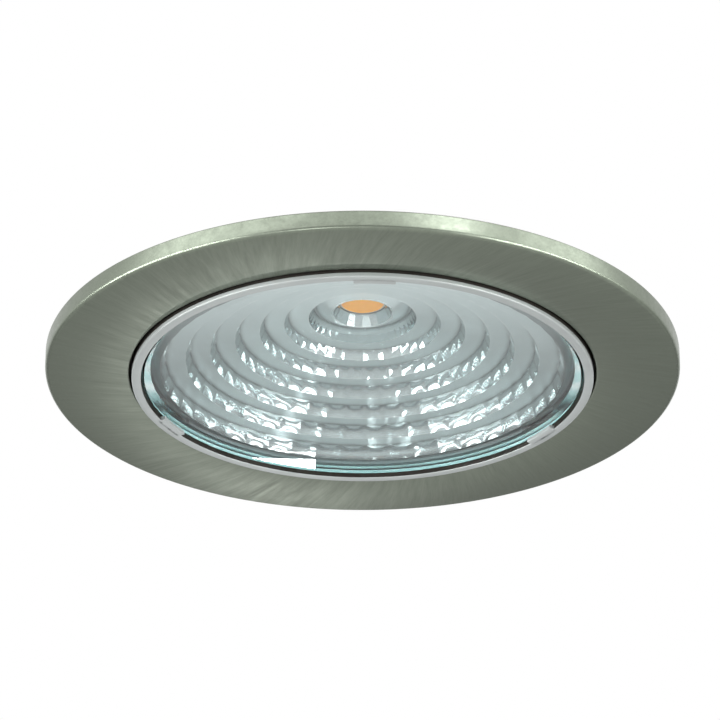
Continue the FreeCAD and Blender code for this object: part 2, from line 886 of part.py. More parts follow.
def clip_spring():
    """Torsion spring round the pin: one leg bears on the bracket's base, the other on the arm."""
    (start_x, start_z), (knee_x, knee_z) = arm_path()[:2]
    slope = math.atan2(start_z - knee_z, knee_x - start_x)
    turns = spring_turns + 0.25 + slope / (2 * math.pi)
    length = turns * spring_pitch
    helix = Part.makeHelix(spring_pitch, length, spring_coil_radius)
    section = Part.Wire([Part.Circle(Vector(spring_coil_radius, 0, 0), Vector(0, 1, 0), spring_wire_radius).toShape()])
    coil = Part.Wire(helix.Edges).makePipeShell([section], True, True)
    coil.rotate(Vector(0, 0, 0), Vector(1, 0, 0), -90)
    coil.rotate(Vector(0, 0, 0), Vector(0, 1, 0), 180)
    coil.translate(Vector(clip_pin_reach, -length / 2, pin_z))
    outward = Vector(math.sin(slope), 0, math.cos(slope)) * spring_coil_radius
    top = Vector(clip_pin_reach, length / 2, pin_z) + outward
    leg = Part.makeCylinder(spring_wire_radius, spring_leg_length, top, Vector(math.cos(slope), 0, -math.sin(slope)))
    back = Vector(clip_pin_reach - spring_coil_radius, -length / 2, pin_z)
    foot = Part.makeCylinder(spring_wire_radius, clip_pin_rise, back, Vector(0, 0, -1))
    return Part.makeCompound([coil, leg, foot])


def bracket_screws():
    screws = []
    for x, y in bracket_screw_places():
        screws.append(
            pan_screw(
                bracket_screw_radius,
                bracket_screw_head_radius,
                bracket_screw_head_height,
                bracket_base_top,
                pad_height - bracket_screw_bite,
                x,
                y,
            )
        )
    return Part.makeCompound(screws + [turned(screw, 180) for screw in screws])


def main():
    os.makedirs("parts", exist_ok=True)
    single_pieces = {
        "trim_ring": trim_ring,
        "soffit_gasket": soffit_gasket,
        "retaining_ring": retaining_ring,
        "front_glass": front_glass,
        "glass_seal": glass_seal,
        "reflector": reflector,
        "led_emitter": led_emitter,
        "led_board": led_board,
        "thermal_pad": thermal_pad,
        "board_screws": board_screws,
        "led_leads": led_leads,
        "heat_sink": heat_sink,
        "trim_screws": trim_screws,
        "gland_body": gland_body,
        "gland_washer": gland_washer,
        "gland_insert": gland_insert,
        "gland_nut": gland_nut,
        "bracket_screws": bracket_screws,
    }
    for name, make in single_pieces.items():
        save(name, make())
    clip_pieces = {
        "clip_bracket": clip_bracket,
        "hinge_pin": hinge_pin,
        "pin_circlip": circlip,
        "clip_arm": clip_arm,
        "clip_sleeve": clip_sleeve,
        "clip_spring": clip_spring,
    }
    for name, make in clip_pieces.items():
        shape = make()
        save(name + "_right", shape)
        save(name + "_left", turned(shape, 180))


main()
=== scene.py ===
"""Looks of a recessed soffit downlight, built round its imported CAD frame.

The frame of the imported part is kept: metres, +Z up into the soffit, the light faces down, the
spring clips lie on +X and -X and the cable gland towards +Y. Sizes of the pieces are in
millimetres; those of finishes, lamps and surroundings are in metres.
"""

import logging
import math
from dataclasses import asdict, dataclass
from enum import Enum
from typing import Callable, Sequence

import bmesh
import bpy
from mathutils import Matrix, Vector


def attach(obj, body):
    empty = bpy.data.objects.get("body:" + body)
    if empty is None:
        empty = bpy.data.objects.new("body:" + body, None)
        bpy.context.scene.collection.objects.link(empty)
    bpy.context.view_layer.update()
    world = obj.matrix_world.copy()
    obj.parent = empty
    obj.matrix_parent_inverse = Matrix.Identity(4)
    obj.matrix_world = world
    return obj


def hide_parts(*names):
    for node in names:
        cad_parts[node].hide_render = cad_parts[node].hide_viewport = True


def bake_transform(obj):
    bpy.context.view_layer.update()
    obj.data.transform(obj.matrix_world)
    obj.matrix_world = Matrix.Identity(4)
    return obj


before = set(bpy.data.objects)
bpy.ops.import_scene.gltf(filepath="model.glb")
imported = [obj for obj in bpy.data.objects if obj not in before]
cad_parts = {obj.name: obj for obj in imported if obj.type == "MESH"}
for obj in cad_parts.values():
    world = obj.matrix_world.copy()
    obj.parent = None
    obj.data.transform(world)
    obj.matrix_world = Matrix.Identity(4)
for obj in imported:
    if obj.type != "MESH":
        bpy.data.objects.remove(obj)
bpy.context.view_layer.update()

log = logging.getLogger("downlight")
logging.basicConfig(level=logging.INFO, format="%(name)s: %(message)s")

MM = 0.001
Point2 = tuple[float, float]
Corner = tuple[float, float, float]
Colour = tuple[float, float, float]

PATTERN_ANGLE = 33.0  # degrees from +X to the first lug, window and facet
THIRD_TURN = 120.0  # degrees between lugs, windows and trim screws
GLASS_FRONT = -3.8  # where the lugs end and the glass begins
POLE_RADIUS = 1e-6  # smaller radii count as a point on the axis
WELD_REACH = 1e-5  # points nearer than this are one
LONGEST_ROUNDING = 0.49  # share of an outline's side that one rounding may take
FACE_SLACK = 0.1  # how far off a wall a face's centre may lie and still count with it
ROUND_SIDES = 256  # sides of the trim and the ring

FLOAT = "NodeSocketFloat"
INTEGER = "NodeSocketInt"
VECTOR = "NodeSocketVector"
MATERIAL = "NodeSocketMaterial"
GEOMETRY = "NodeSocketGeometry"


class Body(Enum):
    """Bodies of the CAD frame."""

    FITTING = "fitting"
    RIGHT_CLIP = "clip_right"
    LEFT_CLIP = "clip_left"


class Side(Enum):
    """The two clips; the value is the sign of X."""

    RIGHT = 1
    LEFT = -1

    @property
    def word(self) -> str:
        """Ending of the CAD node names on this side."""
        return self.name.lower()

    @property
    def body(self) -> Body:
        """Body of this side's arm."""
        return Body.RIGHT_CLIP if self is Side.RIGHT else Body.LEFT_CLIP


class HeadFacing(Enum):
    """Which way a screw's head looks; the value turns the screw about X."""

    UP = 0.0
    DOWN = math.pi


# ------------------------------------------------------------------ node trees


class TreeMaker:
    """Short way to fill a shader or geometry node tree."""

    def __init__(self, tree: bpy.types.NodeTree) -> None:
        self.tree = tree
        self.count = 0

    def add(self, kind: str, inputs: dict | None = None, **settings: object) -> bpy.types.Node:
        """Add a node.

        Args:
            kind: Blender's type name of the node.
            inputs: value or output socket for each input, by its name or number.
            settings: properties of the node.

        Returns:
            The new node.
        """
        node = self.tree.nodes.new(kind)
        node.location = (180 * self.count, -120 * (self.count % 4))
        self.count += 1
        for key, value in settings.items():
            setattr(node, key, value)
        for key, value in (inputs or {}).items():
            self.feed(node.inputs[key], value)
        return node

    def feed(self, socket: bpy.types.NodeSocket, value: object) -> None:
        """Link an output to a socket, or store a plain value on it."""
        if isinstance(value, bpy.types.NodeSocket):
            self.tree.links.new(value, socket)
        else:
            socket.default_value = value

    def maths(self, operation: str, *values: object) -> bpy.types.NodeSocket:
        """Result of a Math node on up to three values."""
        node = self.add("ShaderNodeMath", dict(enumerate(values)), operation=operation)
        return node.outputs[0]

    def remap(self, value: object, low: float, high: float, out_low: float, out_high: float) -> object:
        """Value carried from one range to another and kept inside it."""
        node = self.add(
            "ShaderNodeMapRange",
            {"Value": value, "From Min": low, "From Max": high, "To Min": out_low, "To Max": out_high},
        )
        return node.outputs["Result"]

    def noise(self, vector: object, scale: object, detail: float = 3.0, roughness: float = 0.55) -> object:
        """Value of a noise texture."""
        node = self.add("ShaderNodeTexNoise", {"Vector": vector, "Scale": scale, "Detail": detail})
        node.inputs["Roughness"].default_value = roughness
        return node.outputs[0]

    def tint(self, factor: object, first: Colour, second: Colour) -> object:
        """Colour between two plain ones by a factor."""
        return self.blend(factor, (*first, 1.0), (*second, 1.0))

    def blend(self, factor: object, first: object, second: object) -> object:
        """Colour between two sockets or opaque colours by a factor."""
        node = self.add("ShaderNodeMix", {0: factor, 6: first, 7: second}, data_type="RGBA")
        return node.outputs[2]

    def mirrored(self, rays: bpy.types.bpy_prop_collection) -> object:
        """1 for rays that come off a mirror or out of glass, else 0."""
        return self.maths("MAXIMUM", rays["Is Glossy Ray"], rays["Is Transmission Ray"])


def new_group(name: str, inputs: dict[str, tuple[str, object]], outputs: dict[str, str]) -> tuple:
    """Start a shader node group.

    Args:
        name: name of the group.
        inputs: socket type and default for each input.
        outputs: socket type for each output.

    Returns:
        The group, its maker, its input node and its output node.
    """
    group = bpy.data.node_groups.new(name, "ShaderNodeTree")
    for label, (kind, value) in inputs.items():
        socket = group.interface.new_socket(name=label, in_out="INPUT", socket_type=kind)
        if value is not None:
            socket.default_value = value
    for label, kind in outputs.items():
        group.interface.new_socket(name=label, in_out="OUTPUT", socket_type=kind)
    maker = TreeMaker(group)
    return group, maker, maker.add("NodeGroupInput"), maker.add("NodeGroupOutput")


class SharedEffects:
    """Shader node groups that several finishes use."""

    def __init__(self) -> None:
        self.grain = self.make_grain()
        self.edge_wear = self.make_edge_wear()
        self.dust = self.make_dust()
        self.brushing = self.make_brushing()

    @staticmethod
    def make_grain() -> bpy.types.NodeTree:
        """Moulded or coated grain: a fine height and a broad mottling."""
        group, maker, given, result = new_group(
            "surface_grain",
            {"Vector": (VECTOR, None), "Fine Scale": (FLOAT, 2500.0), "Broad Scale": (FLOAT, 60.0)},
            {"Height": FLOAT, "Mottle": FLOAT},
        )
        fine = maker.noise(given.outputs["Vector"], given.outputs["Fine Scale"], 4.0, 0.65)
        broad = maker.noise(given.outputs["Vector"], given.outputs["Broad Scale"], 3.0)
        maker.feed(result.inputs["Height"], fine)
        maker.feed(result.inputs["Mottle"], maker.remap(broad, 0.3, 0.7, 0.0, 1.0))
        return group

    @staticmethod
    def make_edge_wear() -> bpy.types.NodeTree:
        """Mask that is high on sharp edges and broken up by noise: worn edges on most finishes and a painted
        highlight on the reflector's edges.
        """
        group, maker, given, result = new_group(
            "edge_wear",
            {"Vector": (VECTOR, None), "Width": (FLOAT, 0.0004), "Amount": (FLOAT, 0.6)},
            {"Mask": FLOAT},
        )
        soft = maker.add("ShaderNodeBevel", {"Radius": given.outputs["Width"]}, samples=4)
        hard = maker.add("ShaderNodeNewGeometry")
        likeness = maker.add(
            "ShaderNodeVectorMath", {0: soft.outputs[0], 1: hard.outputs["Normal"]}, operation="DOT_PRODUCT"
        )
        edge = maker.remap(likeness.outputs["Value"], 0.995, 0.9, 0.0, 1.0)
        patches = maker.remap(maker.noise(given.outputs["Vector"], 420.0, 4.0), 0.42, 0.62, 0.0, 1.0)
        mask = maker.maths("MULTIPLY", maker.maths("MULTIPLY", edge, patches), given.outputs["Amount"])
        maker.feed(result.inputs["Mask"], mask)
        return group

    @staticmethod
    def make_dust() -> bpy.types.NodeTree:
        """Thin dust on faces that look up, denser in patches."""
        group, maker, given, result = new_group(
            "settled_dust", {"Vector": (VECTOR, None), "Amount": (FLOAT, 0.3)}, {"Mask": FLOAT}
        )
        facing = maker.add("ShaderNodeNewGeometry")
        up = maker.add("ShaderNodeSeparateXYZ", {0: facing.outputs["Normal"]})
        lying = maker.remap(up.outputs["Z"], 0.3, 1.0, 0.0, 1.0)
        patches = maker.remap(maker.noise(given.outputs["Vector"], 150.0, 6.0, 0.7), 0.4, 0.7, 0.0, 1.0)
        mask = maker.maths("MULTIPLY", maker.maths("MULTIPLY", lying, patches), given.outputs["Amount"])
        maker.feed(result.inputs["Mask"], mask)
        return group

    @staticmethod
    def make_brushing() -> bpy.types.NodeTree:
        """Strokes that run outwards round the object's axis and lean to one side."""
        group, maker, given, result = new_group(
            "leaning_strokes",
            {"Vector": (VECTOR, None), "Lean": (FLOAT, 0.5), "Fine Scale": (FLOAT, 2600.0)},
            {"Fine": FLOAT, "Broad": FLOAT},
        )
        place = maker.add("ShaderNodeSeparateXYZ", {0: given.outputs["Vector"]})
        across = maker.maths("ARCTAN2", place.outputs["Y"], place.outputs["X"])
        square = maker.maths(
            "ADD",
            maker.maths("POWER", place.outputs["X"], 2.0),
            maker.maths("POWER", place.outputs["Y"], 2.0),
        )
        radius = maker.maths("SQRT", square)
        lean = maker.maths("MULTIPLY", given.outputs["Lean"], maker.maths("LOGARITHM", radius, math.e))
        turn = maker.maths("ADD", across, lean)
        wobble = maker.noise(given.outputs["Vector"], 40.0, 2.0)
        turn = maker.maths("ADD", turn, maker.maths("MULTIPLY", wobble, 0.05))
        along = maker.maths("MULTIPLY", radius, 0.11)
        drawn = maker.add(
            "ShaderNodeCombineXYZ",
            {
                "X": maker.maths("MULTIPLY", maker.maths("COSINE", turn), 0.052),
                "Y": maker.maths("MULTIPLY", maker.maths("SINE", turn), 0.052),
                "Z": maker.maths("ADD", along, place.outputs["Z"]),
            },
        ).outputs[0]
        fine = maker.noise(drawn, given.outputs["Fine Scale"], 3.0, 0.6)
        broad = maker.noise(drawn, 620.0, 6.0, 0.7)
        maker.feed(result.inputs["Fine"], fine)
        maker.feed(result.inputs["Broad"], broad)
        return group


class Surface(TreeMaker):
    """A material in the making: its tree, its shader and its place coordinates."""

    def __init__(self, name: str) -> None:
        self.material = bpy.data.materials.new(name)
        self.material.use_nodes = True
        super().__init__(self.material.node_tree)
        self.tree.nodes.clear()
        self.output = self.add("ShaderNodeOutputMaterial")
        self.shader = self.add("ShaderNodeBsdfPrincipled")
        self.tree.links.new(self.shader.outputs[0], self.output.inputs["Surface"])
        self.place = self.add("ShaderNodeTexCoord").outputs["Object"]

    def set(self, **values: object) -> None:
        """Store values or links on the shader; underscores stand for spaces."""
        for key, value in values.items():
            self.feed(self.shader.inputs[key.replace("_", " ")], value)

    def use(self, group: bpy.types.NodeTree, **inputs: object) -> dict[str, bpy.types.NodeSocket]:
        """Place a shared effect and return its outputs by name."""
        node = self.add("ShaderNodeGroup", node_tree=group)
        self.feed(node.inputs["Vector"], self.place)
        for key, value in inputs.items():
            self.feed(node.inputs[key.replace("_", " ")], value)
        return {socket.name: socket for socket in node.outputs}

    def swap(self, factor: object, other: bpy.types.Node) -> None:
        """Show another shader where the factor is 1."""
        mixed = self.add("ShaderNodeMixShader", {0: factor, 1: self.shader.outputs[0], 2: other.outputs[0]})
        self.feed(self.output.inputs["Surface"], mixed.outputs[0])

    def bump(self, height: object, depth: float, strength: float = 1.0) -> None:
        """Give the shader a bumped normal; depth is in metres."""
        node = self.add("ShaderNodeBump", {"Height": height})
        node.inputs["Distance"].default_value = depth
        node.inputs["Strength"].default_value = strength
        self.set(Normal=node.outputs[0])


# ------------------------------------------------------------------ finishes


@dataclass(frozen=True)
class Finish:
    """A finish of the record; each kind fills in its own surface."""

    slot: str
    colour: Colour
    roughness: float = 0.5

    def build(self, shared: SharedEffects) -> bpy.types.Material:
        """Make the material.

        Args:
            shared: node groups that the finish may place.

        Returns:
            The finished material, named after its slot.
        """
        surface = Surface(self.slot)
        self.dress(surface, shared)
        return surface.material

    def dress(self, surface: Surface, shared: SharedEffects) -> None:
        """Fill the surface's tree."""
        raise NotImplementedError

    def shade(self, share: float) -> Colour:
        """This finish's colour, lighter or darker."""
        return tuple(min(1.0, channel * share) for channel in self.colour)


@dataclass(frozen=True)
class SatinNickel(Finish):
    """Nickel plate with long leaning brush strokes."""

    lean: float = -0.3

    def dress(self, surface: Surface, shared: SharedEffects) -> None:
        """Strokes change the tone, the gloss and the height."""
        strokes = surface.use(shared.brushing, Lean=self.lean, Fine_Scale=2600.0)
        wear = surface.use(shared.edge_wear, Width=0.0003, Amount=0.25)
        tone = surface.maths(
            "ADD",
            surface.maths("MULTIPLY", strokes["Broad"], 0.65),
            surface.maths("MULTIPLY", strokes["Fine"], 0.35),
        )
        base = surface.tint(surface.remap(tone, 0.32, 0.68, 0.0, 1.0), self.shade(0.86), self.shade(1.14))
        surface.set(
            Base_Color=surface.blend(wear["Mask"], base, (*self.shade(1.9), 1.0)),
            Metallic=1.0,
            Roughness=surface.remap(tone, 0.35, 0.65, self.roughness + 0.06, self.roughness - 0.06),
        )
        surface.bump(strokes["Fine"], 0.000012, 0.6)


@dataclass(frozen=True)
class TurnedLacquer(Finish):
    """Light lacquer on turned metal."""

    def dress(self, surface: Surface, shared: SharedEffects) -> None:
        """Fine grain, faint mottling and brighter edges."""
        grain = surface.use(shared.grain, Fine_Scale=5200.0, Broad_Scale=130.0)
        wear = surface.use(shared.edge_wear, Width=0.0002, Amount=0.5)
        base = surface.tint(grain["Mottle"], self.shade(0.92), self.shade(1.05))
        surface.set(
            Base_Color=surface.blend(wear["Mask"], base, (0.6, 0.62, 0.61, 1.0)),
            Metallic=0.35,
            Roughness=surface.remap(grain["Mottle"], 0.0, 1.0, self.roughness - 0.04, self.roughness + 0.05),
        )
        surface.bump(grain["Height"], 0.00001, 0.5)


@dataclass(frozen=True)
class BlackCoat(Finish):
    """Powder coat, anodising or moulded nylon: dark, grained and a little dusty; ring_shade is this coat put
    on as painted shade.
    """

    grain_scale: float = 2400.0
    grain_depth: float = 0.00005
    wear_tone: float = 0.10
    dust_amount: float = 0.10
    sheen_level: float = 0.5

    def dress(self, surface: Surface, shared: SharedEffects) -> None:
        """Grain for the height, worn edges and dust for the tone."""
        grain = surface.use(shared.grain, Fine_Scale=self.grain_scale, Broad_Scale=70.0)
        wear = surface.use(shared.edge_wear, Width=0.0004, Amount=0.7)
        dust = surface.use(shared.dust, Amount=self.dust_amount)
        base = surface.tint(grain["Mottle"], self.shade(0.8), self.shade(1.2))
        worn = surface.blend(wear["Mask"], base, (self.wear_tone, self.wear_tone, self.wear_tone, 1.0))
        surface.set(
            Base_Color=surface.blend(dust["Mask"], worn, (0.30, 0.29, 0.27, 1.0)),
            Roughness=surface.remap(grain["Mottle"], 0.0, 1.0, self.roughness - 0.07, self.roughness + 0.08),
            Specular_IOR_Level=self.sheen_level,
        )
        surface.bump(grain["Height"], self.grain_depth, 0.7)


@dataclass(frozen=True)
class SoftRubber(Finish):
    """Rubber, silicone or foam."""

    grain_scale: float = 1800.0
    through: float = 0.0

    def dress(self, surface: Surface, shared: SharedEffects) -> None:
        """Matt grain with a little dust."""
        grain = surface.use(shared.grain, Fine_Scale=self.grain_scale, Broad_Scale=90.0)
        dust = surface.use(shared.dust, Amount=0.12)
        base = surface.tint(grain["Mottle"], self.shade(0.75), self.shade(1.25))
        surface.set(
            Base_Color=surface.blend(dust["Mask"], base, (0.32, 0.31, 0.29, 1.0)),
            Roughness=surface.remap(grain["Mottle"], 0.0, 1.0, self.roughness - 0.06, self.roughness + 0.08),
            Subsurface_Weight=self.through,
        )
        surface.bump(grain["Height"], 0.00004, 0.6)


@dataclass(frozen=True)
class BrightSteel(Finish):
    """Steel strip, wire, plate or screws, drawn or rolled along one direction."""

    stretch: tuple[float, float, float] = (1.0, 1.0, 1.0)
    second: Colour = (0.6, 0.6, 0.6)

    def dress(self, surface: Surface, shared: SharedEffects) -> None:
        """Rolled lines, a broad stain and bright edges."""
        mapping = surface.add("ShaderNodeMapping", {"Vector": surface.place})
        mapping.inputs["Scale"].default_value = self.stretch
        lines = surface.noise(mapping.outputs[0], 1500.0, 4.0, 0.6)
        stain = surface.remap(surface.noise(surface.place, 170.0, 3.0), 0.35, 0.65, 0.0, 1.0)
        wear = surface.use(shared.edge_wear, Width=0.00025, Amount=0.5)
        base = surface.tint(stain, self.colour, self.second)
        surface.set(
            Base_Color=surface.blend(wear["Mask"], base, (0.72, 0.72, 0.71, 1.0)),
            Metallic=1.0,
            Roughness=surface.remap(lines, 0.3, 0.7, self.roughness - 0.08, self.roughness + 0.08),
        )
        surface.bump(lines, 0.000008, 0.6)


@dataclass(frozen=True)
class MirrorMetal(Finish):
    """Metallised reflector, hazier on flat faces; its tone carries painted light and shade by how steep a
    face is, a painted highlight on edges and painted shade in corners.
    """

    # steep scales the colour of steep faces as painted shade; corner sets how dark the painted shade in
    # corners gets.
    steep: float = 0.9
    corner: float = 0.2
    flat_haze: float = 0.24

    def dress(self, surface: Surface, shared: SharedEffects) -> None:
        """The tone follows how steep a face is as painted light and shade, takes a painted highlight near an
        edge and painted shade deep in a corner.
        """
        grain = surface.use(shared.grain, Fine_Scale=900.0, Broad_Scale=110.0)
        edge = surface.use(shared.edge_wear, Width=0.0004, Amount=1.0)
        facing = surface.add("ShaderNodeNewGeometry")
        upright = surface.add("ShaderNodeSeparateXYZ", {0: facing.outputs["True Normal"]})
        flat = surface.remap(surface.maths("ABSOLUTE", upright.outputs["Z"]), 0.5, 0.85, 0.0, 1.0)
        # painted shade: steep faces take the colour scaled by steep
        tone = surface.tint(flat, self.shade(self.steep), self.colour)
        tone = surface.blend(surface.maths("MULTIPLY", grain["Mottle"], 0.35), tone, (*self.shade(0.8), 1.0))
        # painted highlight: sharp edges turn near white
        tone = surface.blend(edge["Mask"], tone, (0.88, 0.90, 0.90, 1.0))
        # painted shade: ambient occlusion darkens corners and creases towards a third of the colour
        hollow = surface.add("ShaderNodeAmbientOcclusion", {"Distance": 0.0011}, samples=6)
        gloss = surface.remap(grain["Mottle"], 0.0, 1.0, self.roughness - 0.03, self.roughness + 0.03)
        depth = surface.remap(hollow.outputs["AO"], 0.5, 0.9, 1.0 - self.corner, 0.0)
        surface.set(
            Base_Color=surface.blend(depth, tone, (*self.shade(0.3), 1.0)),
            Metallic=1.0,
            Roughness=surface.maths("ADD", surface.maths("MULTIPLY", flat, self.flat_haze), gloss),
        )
        surface.bump(grain["Height"], 0.000005, 0.2)


@dataclass(frozen=True)
class ClearGlass(Finish):
    """Float glass; its ground side and its bevel are hazier kinds of the same."""

    shadow: Colour = (0.90, 0.95, 0.94)
    clearness: float = 1.0
    sheen_level: float = 0.25

    def dress(self, surface: Surface, shared: SharedEffects) -> None:
        """Clear to lamps, with a trace of haze."""
        grain = surface.use(shared.grain, Fine_Scale=700.0, Broad_Scale=45.0)
        surface.set(
            Base_Color=surface.tint(grain["Mottle"], self.shade(0.985), self.colour),
            Metallic=0.0,
            Transmission_Weight=self.clearness,
            IOR=1.5,
            Specular_IOR_Level=self.sheen_level,
            Roughness=surface.remap(grain["Mottle"], 0.0, 1.0, self.roughness, self.roughness + 0.012),
        )
        through = surface.add("ShaderNodeBsdfTransparent", {"Color": (*self.shadow, 1.0)})
        rays = surface.add("ShaderNodeLightPath")
        surface.swap(rays.outputs["Is Shadow Ray"], through)


@dataclass(frozen=True)
class PhosphorGel(Finish):
    """Yellow silicone with suspended grains and a faint painted glow; the emitter is not lit."""

    # painted glow: emission colour and strength on an emitter that is not lit
    glow: Colour = (1.0, 0.45, 0.1)
    glow_strength: float = 0.22

    def dress(self, surface: Surface, shared: SharedEffects) -> None:
        """Grains darken the gel a little."""
        cells = surface.add("ShaderNodeTexVoronoi", {"Vector": surface.place, "Scale": 2600.0})
        speck = surface.remap(cells.outputs["Distance"], 0.0, 0.6, 0.0, 1.0)
        grain = surface.use(shared.grain, Fine_Scale=3000.0, Broad_Scale=260.0)
        base = surface.tint(speck, self.shade(0.85), self.shade(1.12))
        surface.set(
            Base_Color=base,
            Roughness=surface.remap(grain["Mottle"], 0.0, 1.0, self.roughness - 0.05, self.roughness + 0.1),
            Subsurface_Weight=0.15,
            # painted glow
            Emission_Color=(*self.glow, 1.0),
            Emission_Strength=self.glow_strength,
        )
        surface.bump(grain["Height"], 0.00002, 0.5)


@dataclass(frozen=True)
class SolderMask(Finish):
    """White mask on a metal-core board, with the copper's weave just showing."""

    def dress(self, surface: Surface, shared: SharedEffects) -> None:
        """Faint squares under a glossy white coat."""
        checks = surface.add("ShaderNodeTexBrick", {"Vector": surface.place, "Scale": 420.0})
        grain = surface.use(shared.grain, Fine_Scale=2600.0, Broad_Scale=160.0)
        base = surface.tint(checks.outputs["Fac"], self.colour, self.shade(0.9))
        surface.set(
            Base_Color=base,
            Roughness=surface.remap(grain["Mottle"], 0.0, 1.0, self.roughness - 0.07, self.roughness + 0.07),
            Coat_Weight=0.2,
        )
        surface.bump(grain["Height"], 0.00001, 0.5)


FINISHES: tuple[Finish, ...] = (
    SatinNickel("satin_nickel", (0.200, 0.227, 0.182), 0.34),
    TurnedLacquer("grey_ring", (0.36, 0.385, 0.38), 0.38),
    # ring_shade is a dark coat painted as shade on the ring's spigot and outer wall
    BlackCoat("ring_shade", (0.024, 0.022, 0.019), 0.3, 3200.0, 0.00001, sheen_level=0.1),
    ClearGlass("clear_glass", (0.975, 1.0, 0.996), 0.0),
    ClearGlass("ground_glass_edge", (0.30, 0.66, 0.67), 0.45, clearness=0.4),
    ClearGlass("bevelled_glass_edge", (0.60, 0.90, 0.90), 0.12),
    MirrorMetal("mirror_reflector", (0.70, 0.775, 0.78), 0.07),
    MirrorMetal("satin_skirt", (0.50, 0.55, 0.56), 0.42, steep=1.0),
    PhosphorGel("phosphor", (0.92, 0.40, 0.06), 0.3),
    SoftRubber("emitter_dam", (0.72, 0.70, 0.62), 0.5),
    SolderMask("white_board", (0.80, 0.81, 0.79), 0.35),
    SoftRubber("grey_pad", (0.34, 0.35, 0.37), 0.7),
    SoftRubber("silicone", (0.42, 0.48, 0.46), 0.45, 1400.0, 0.2),
    SoftRubber("black_rubber", (0.022, 0.022, 0.023), 0.72),
    SoftRubber("clip_rubber", (0.045, 0.045, 0.047), 0.62, 2600.0),
    SoftRubber("lead_plastic", (0.42, 0.045, 0.03), 0.45, 3200.0),
    BlackCoat("black_casting", (0.030, 0.031, 0.033), 0.52),
    BlackCoat("black_nylon", (0.022, 0.022, 0.024), 0.44, 3600.0, 0.00003),
    BrightSteel("screw_steel", (0.50, 0.50, 0.49), 0.3, (1.0, 1.0, 0.2), (0.6, 0.6, 0.58)),
    BrightSteel("zinc_steel", (0.52, 0.54, 0.58), 0.36, (0.15, 1.0, 1.0), (0.62, 0.6, 0.5)),
    BrightSteel("spring_steel", (0.46, 0.46, 0.46), 0.3, (0.06, 1.0, 0.3), (0.56, 0.55, 0.53)),
    BrightSteel("spring_wire", (0.42, 0.42, 0.43), 0.28, (1.0, 0.25, 1.0), (0.52, 0.51, 0.5)),
)


class FinishShelf:
    """All finishes as materials, by slot."""

    def __init__(self) -> None:
        shared = SharedEffects()
        self.by_slot = {finish.slot: finish.build(shared) for finish in FINISHES}

    def __getitem__(self, slot: str) -> bpy.types.Material:
        """Material of a slot."""
        return self.by_slot[slot]

    def dress_node(self, node: str, slot: str) -> None:
        """Give a CAD node its material without touching its mesh."""
        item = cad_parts[node]
        if not item.material_slots:
            item.data.materials.append(self[slot])
        for holder in item.material_slots:
            holder.material = self[slot]
        log.info("CAD node %s wears %s", node, slot)


# ------------------------------------------------------------------ mesh helpers


def polar(radius: float, angle: float, height: float, middle: float = 0.0) -> Vector:
    """Point at a radius and angle round an upright axis that stands at Y = middle."""
    return Vector((radius * math.cos(angle), middle + radius * math.sin(angle), height))


def spread(steps: int) -> list[float]:
    """Even values from -1 to 1."""
    return [2 * i / steps - 1 for i in range(steps + 1)]


def rounded(corners: Sequence[Corner], steps: int = 5, closed: bool = True) -> list[Point2]:
    """Outline with rounded corners.

    Args:
        corners: radius, height and rounding of each corner, in millimetres.
        steps: pieces in each rounding.
        closed: whether the last corner joins the first.

    Returns:
        Points of the outline.
    """
    points: list[Point2] = []
    for i, (x, z, rounding) in enumerate(corners):
        at_end = not closed and i in (0, len(corners) - 1)
        if rounding <= 0 or at_end:
            points.append((x, z))
            continue
        here = Vector((x, z))
        before = Vector(corners[i - 1][:2]) - here
        after = Vector(corners[(i + 1) % len(corners)][:2]) - here
        half = before.angle(after) / 2
        room = LONGEST_ROUNDING * min(before.length, after.length)
        reach = min(rounding / math.tan(half), room)
        start, end = here + before.normalized() * reach, here + after.normalized() * reach
        middle = here + (before.normalized() + after.normalized()).normalized() * (reach / math.cos(half))
        radius = (start - middle).length
        first, second = start - middle, end - middle
        sweep = first.angle_signed(second)
        for step in range(steps + 1):
            offset = Matrix.Rotation(-sweep * step / steps, 2) @ first
            offset = offset.normalized() * radius
            points.append((middle.x + offset.x, middle.y + offset.y))
    return points


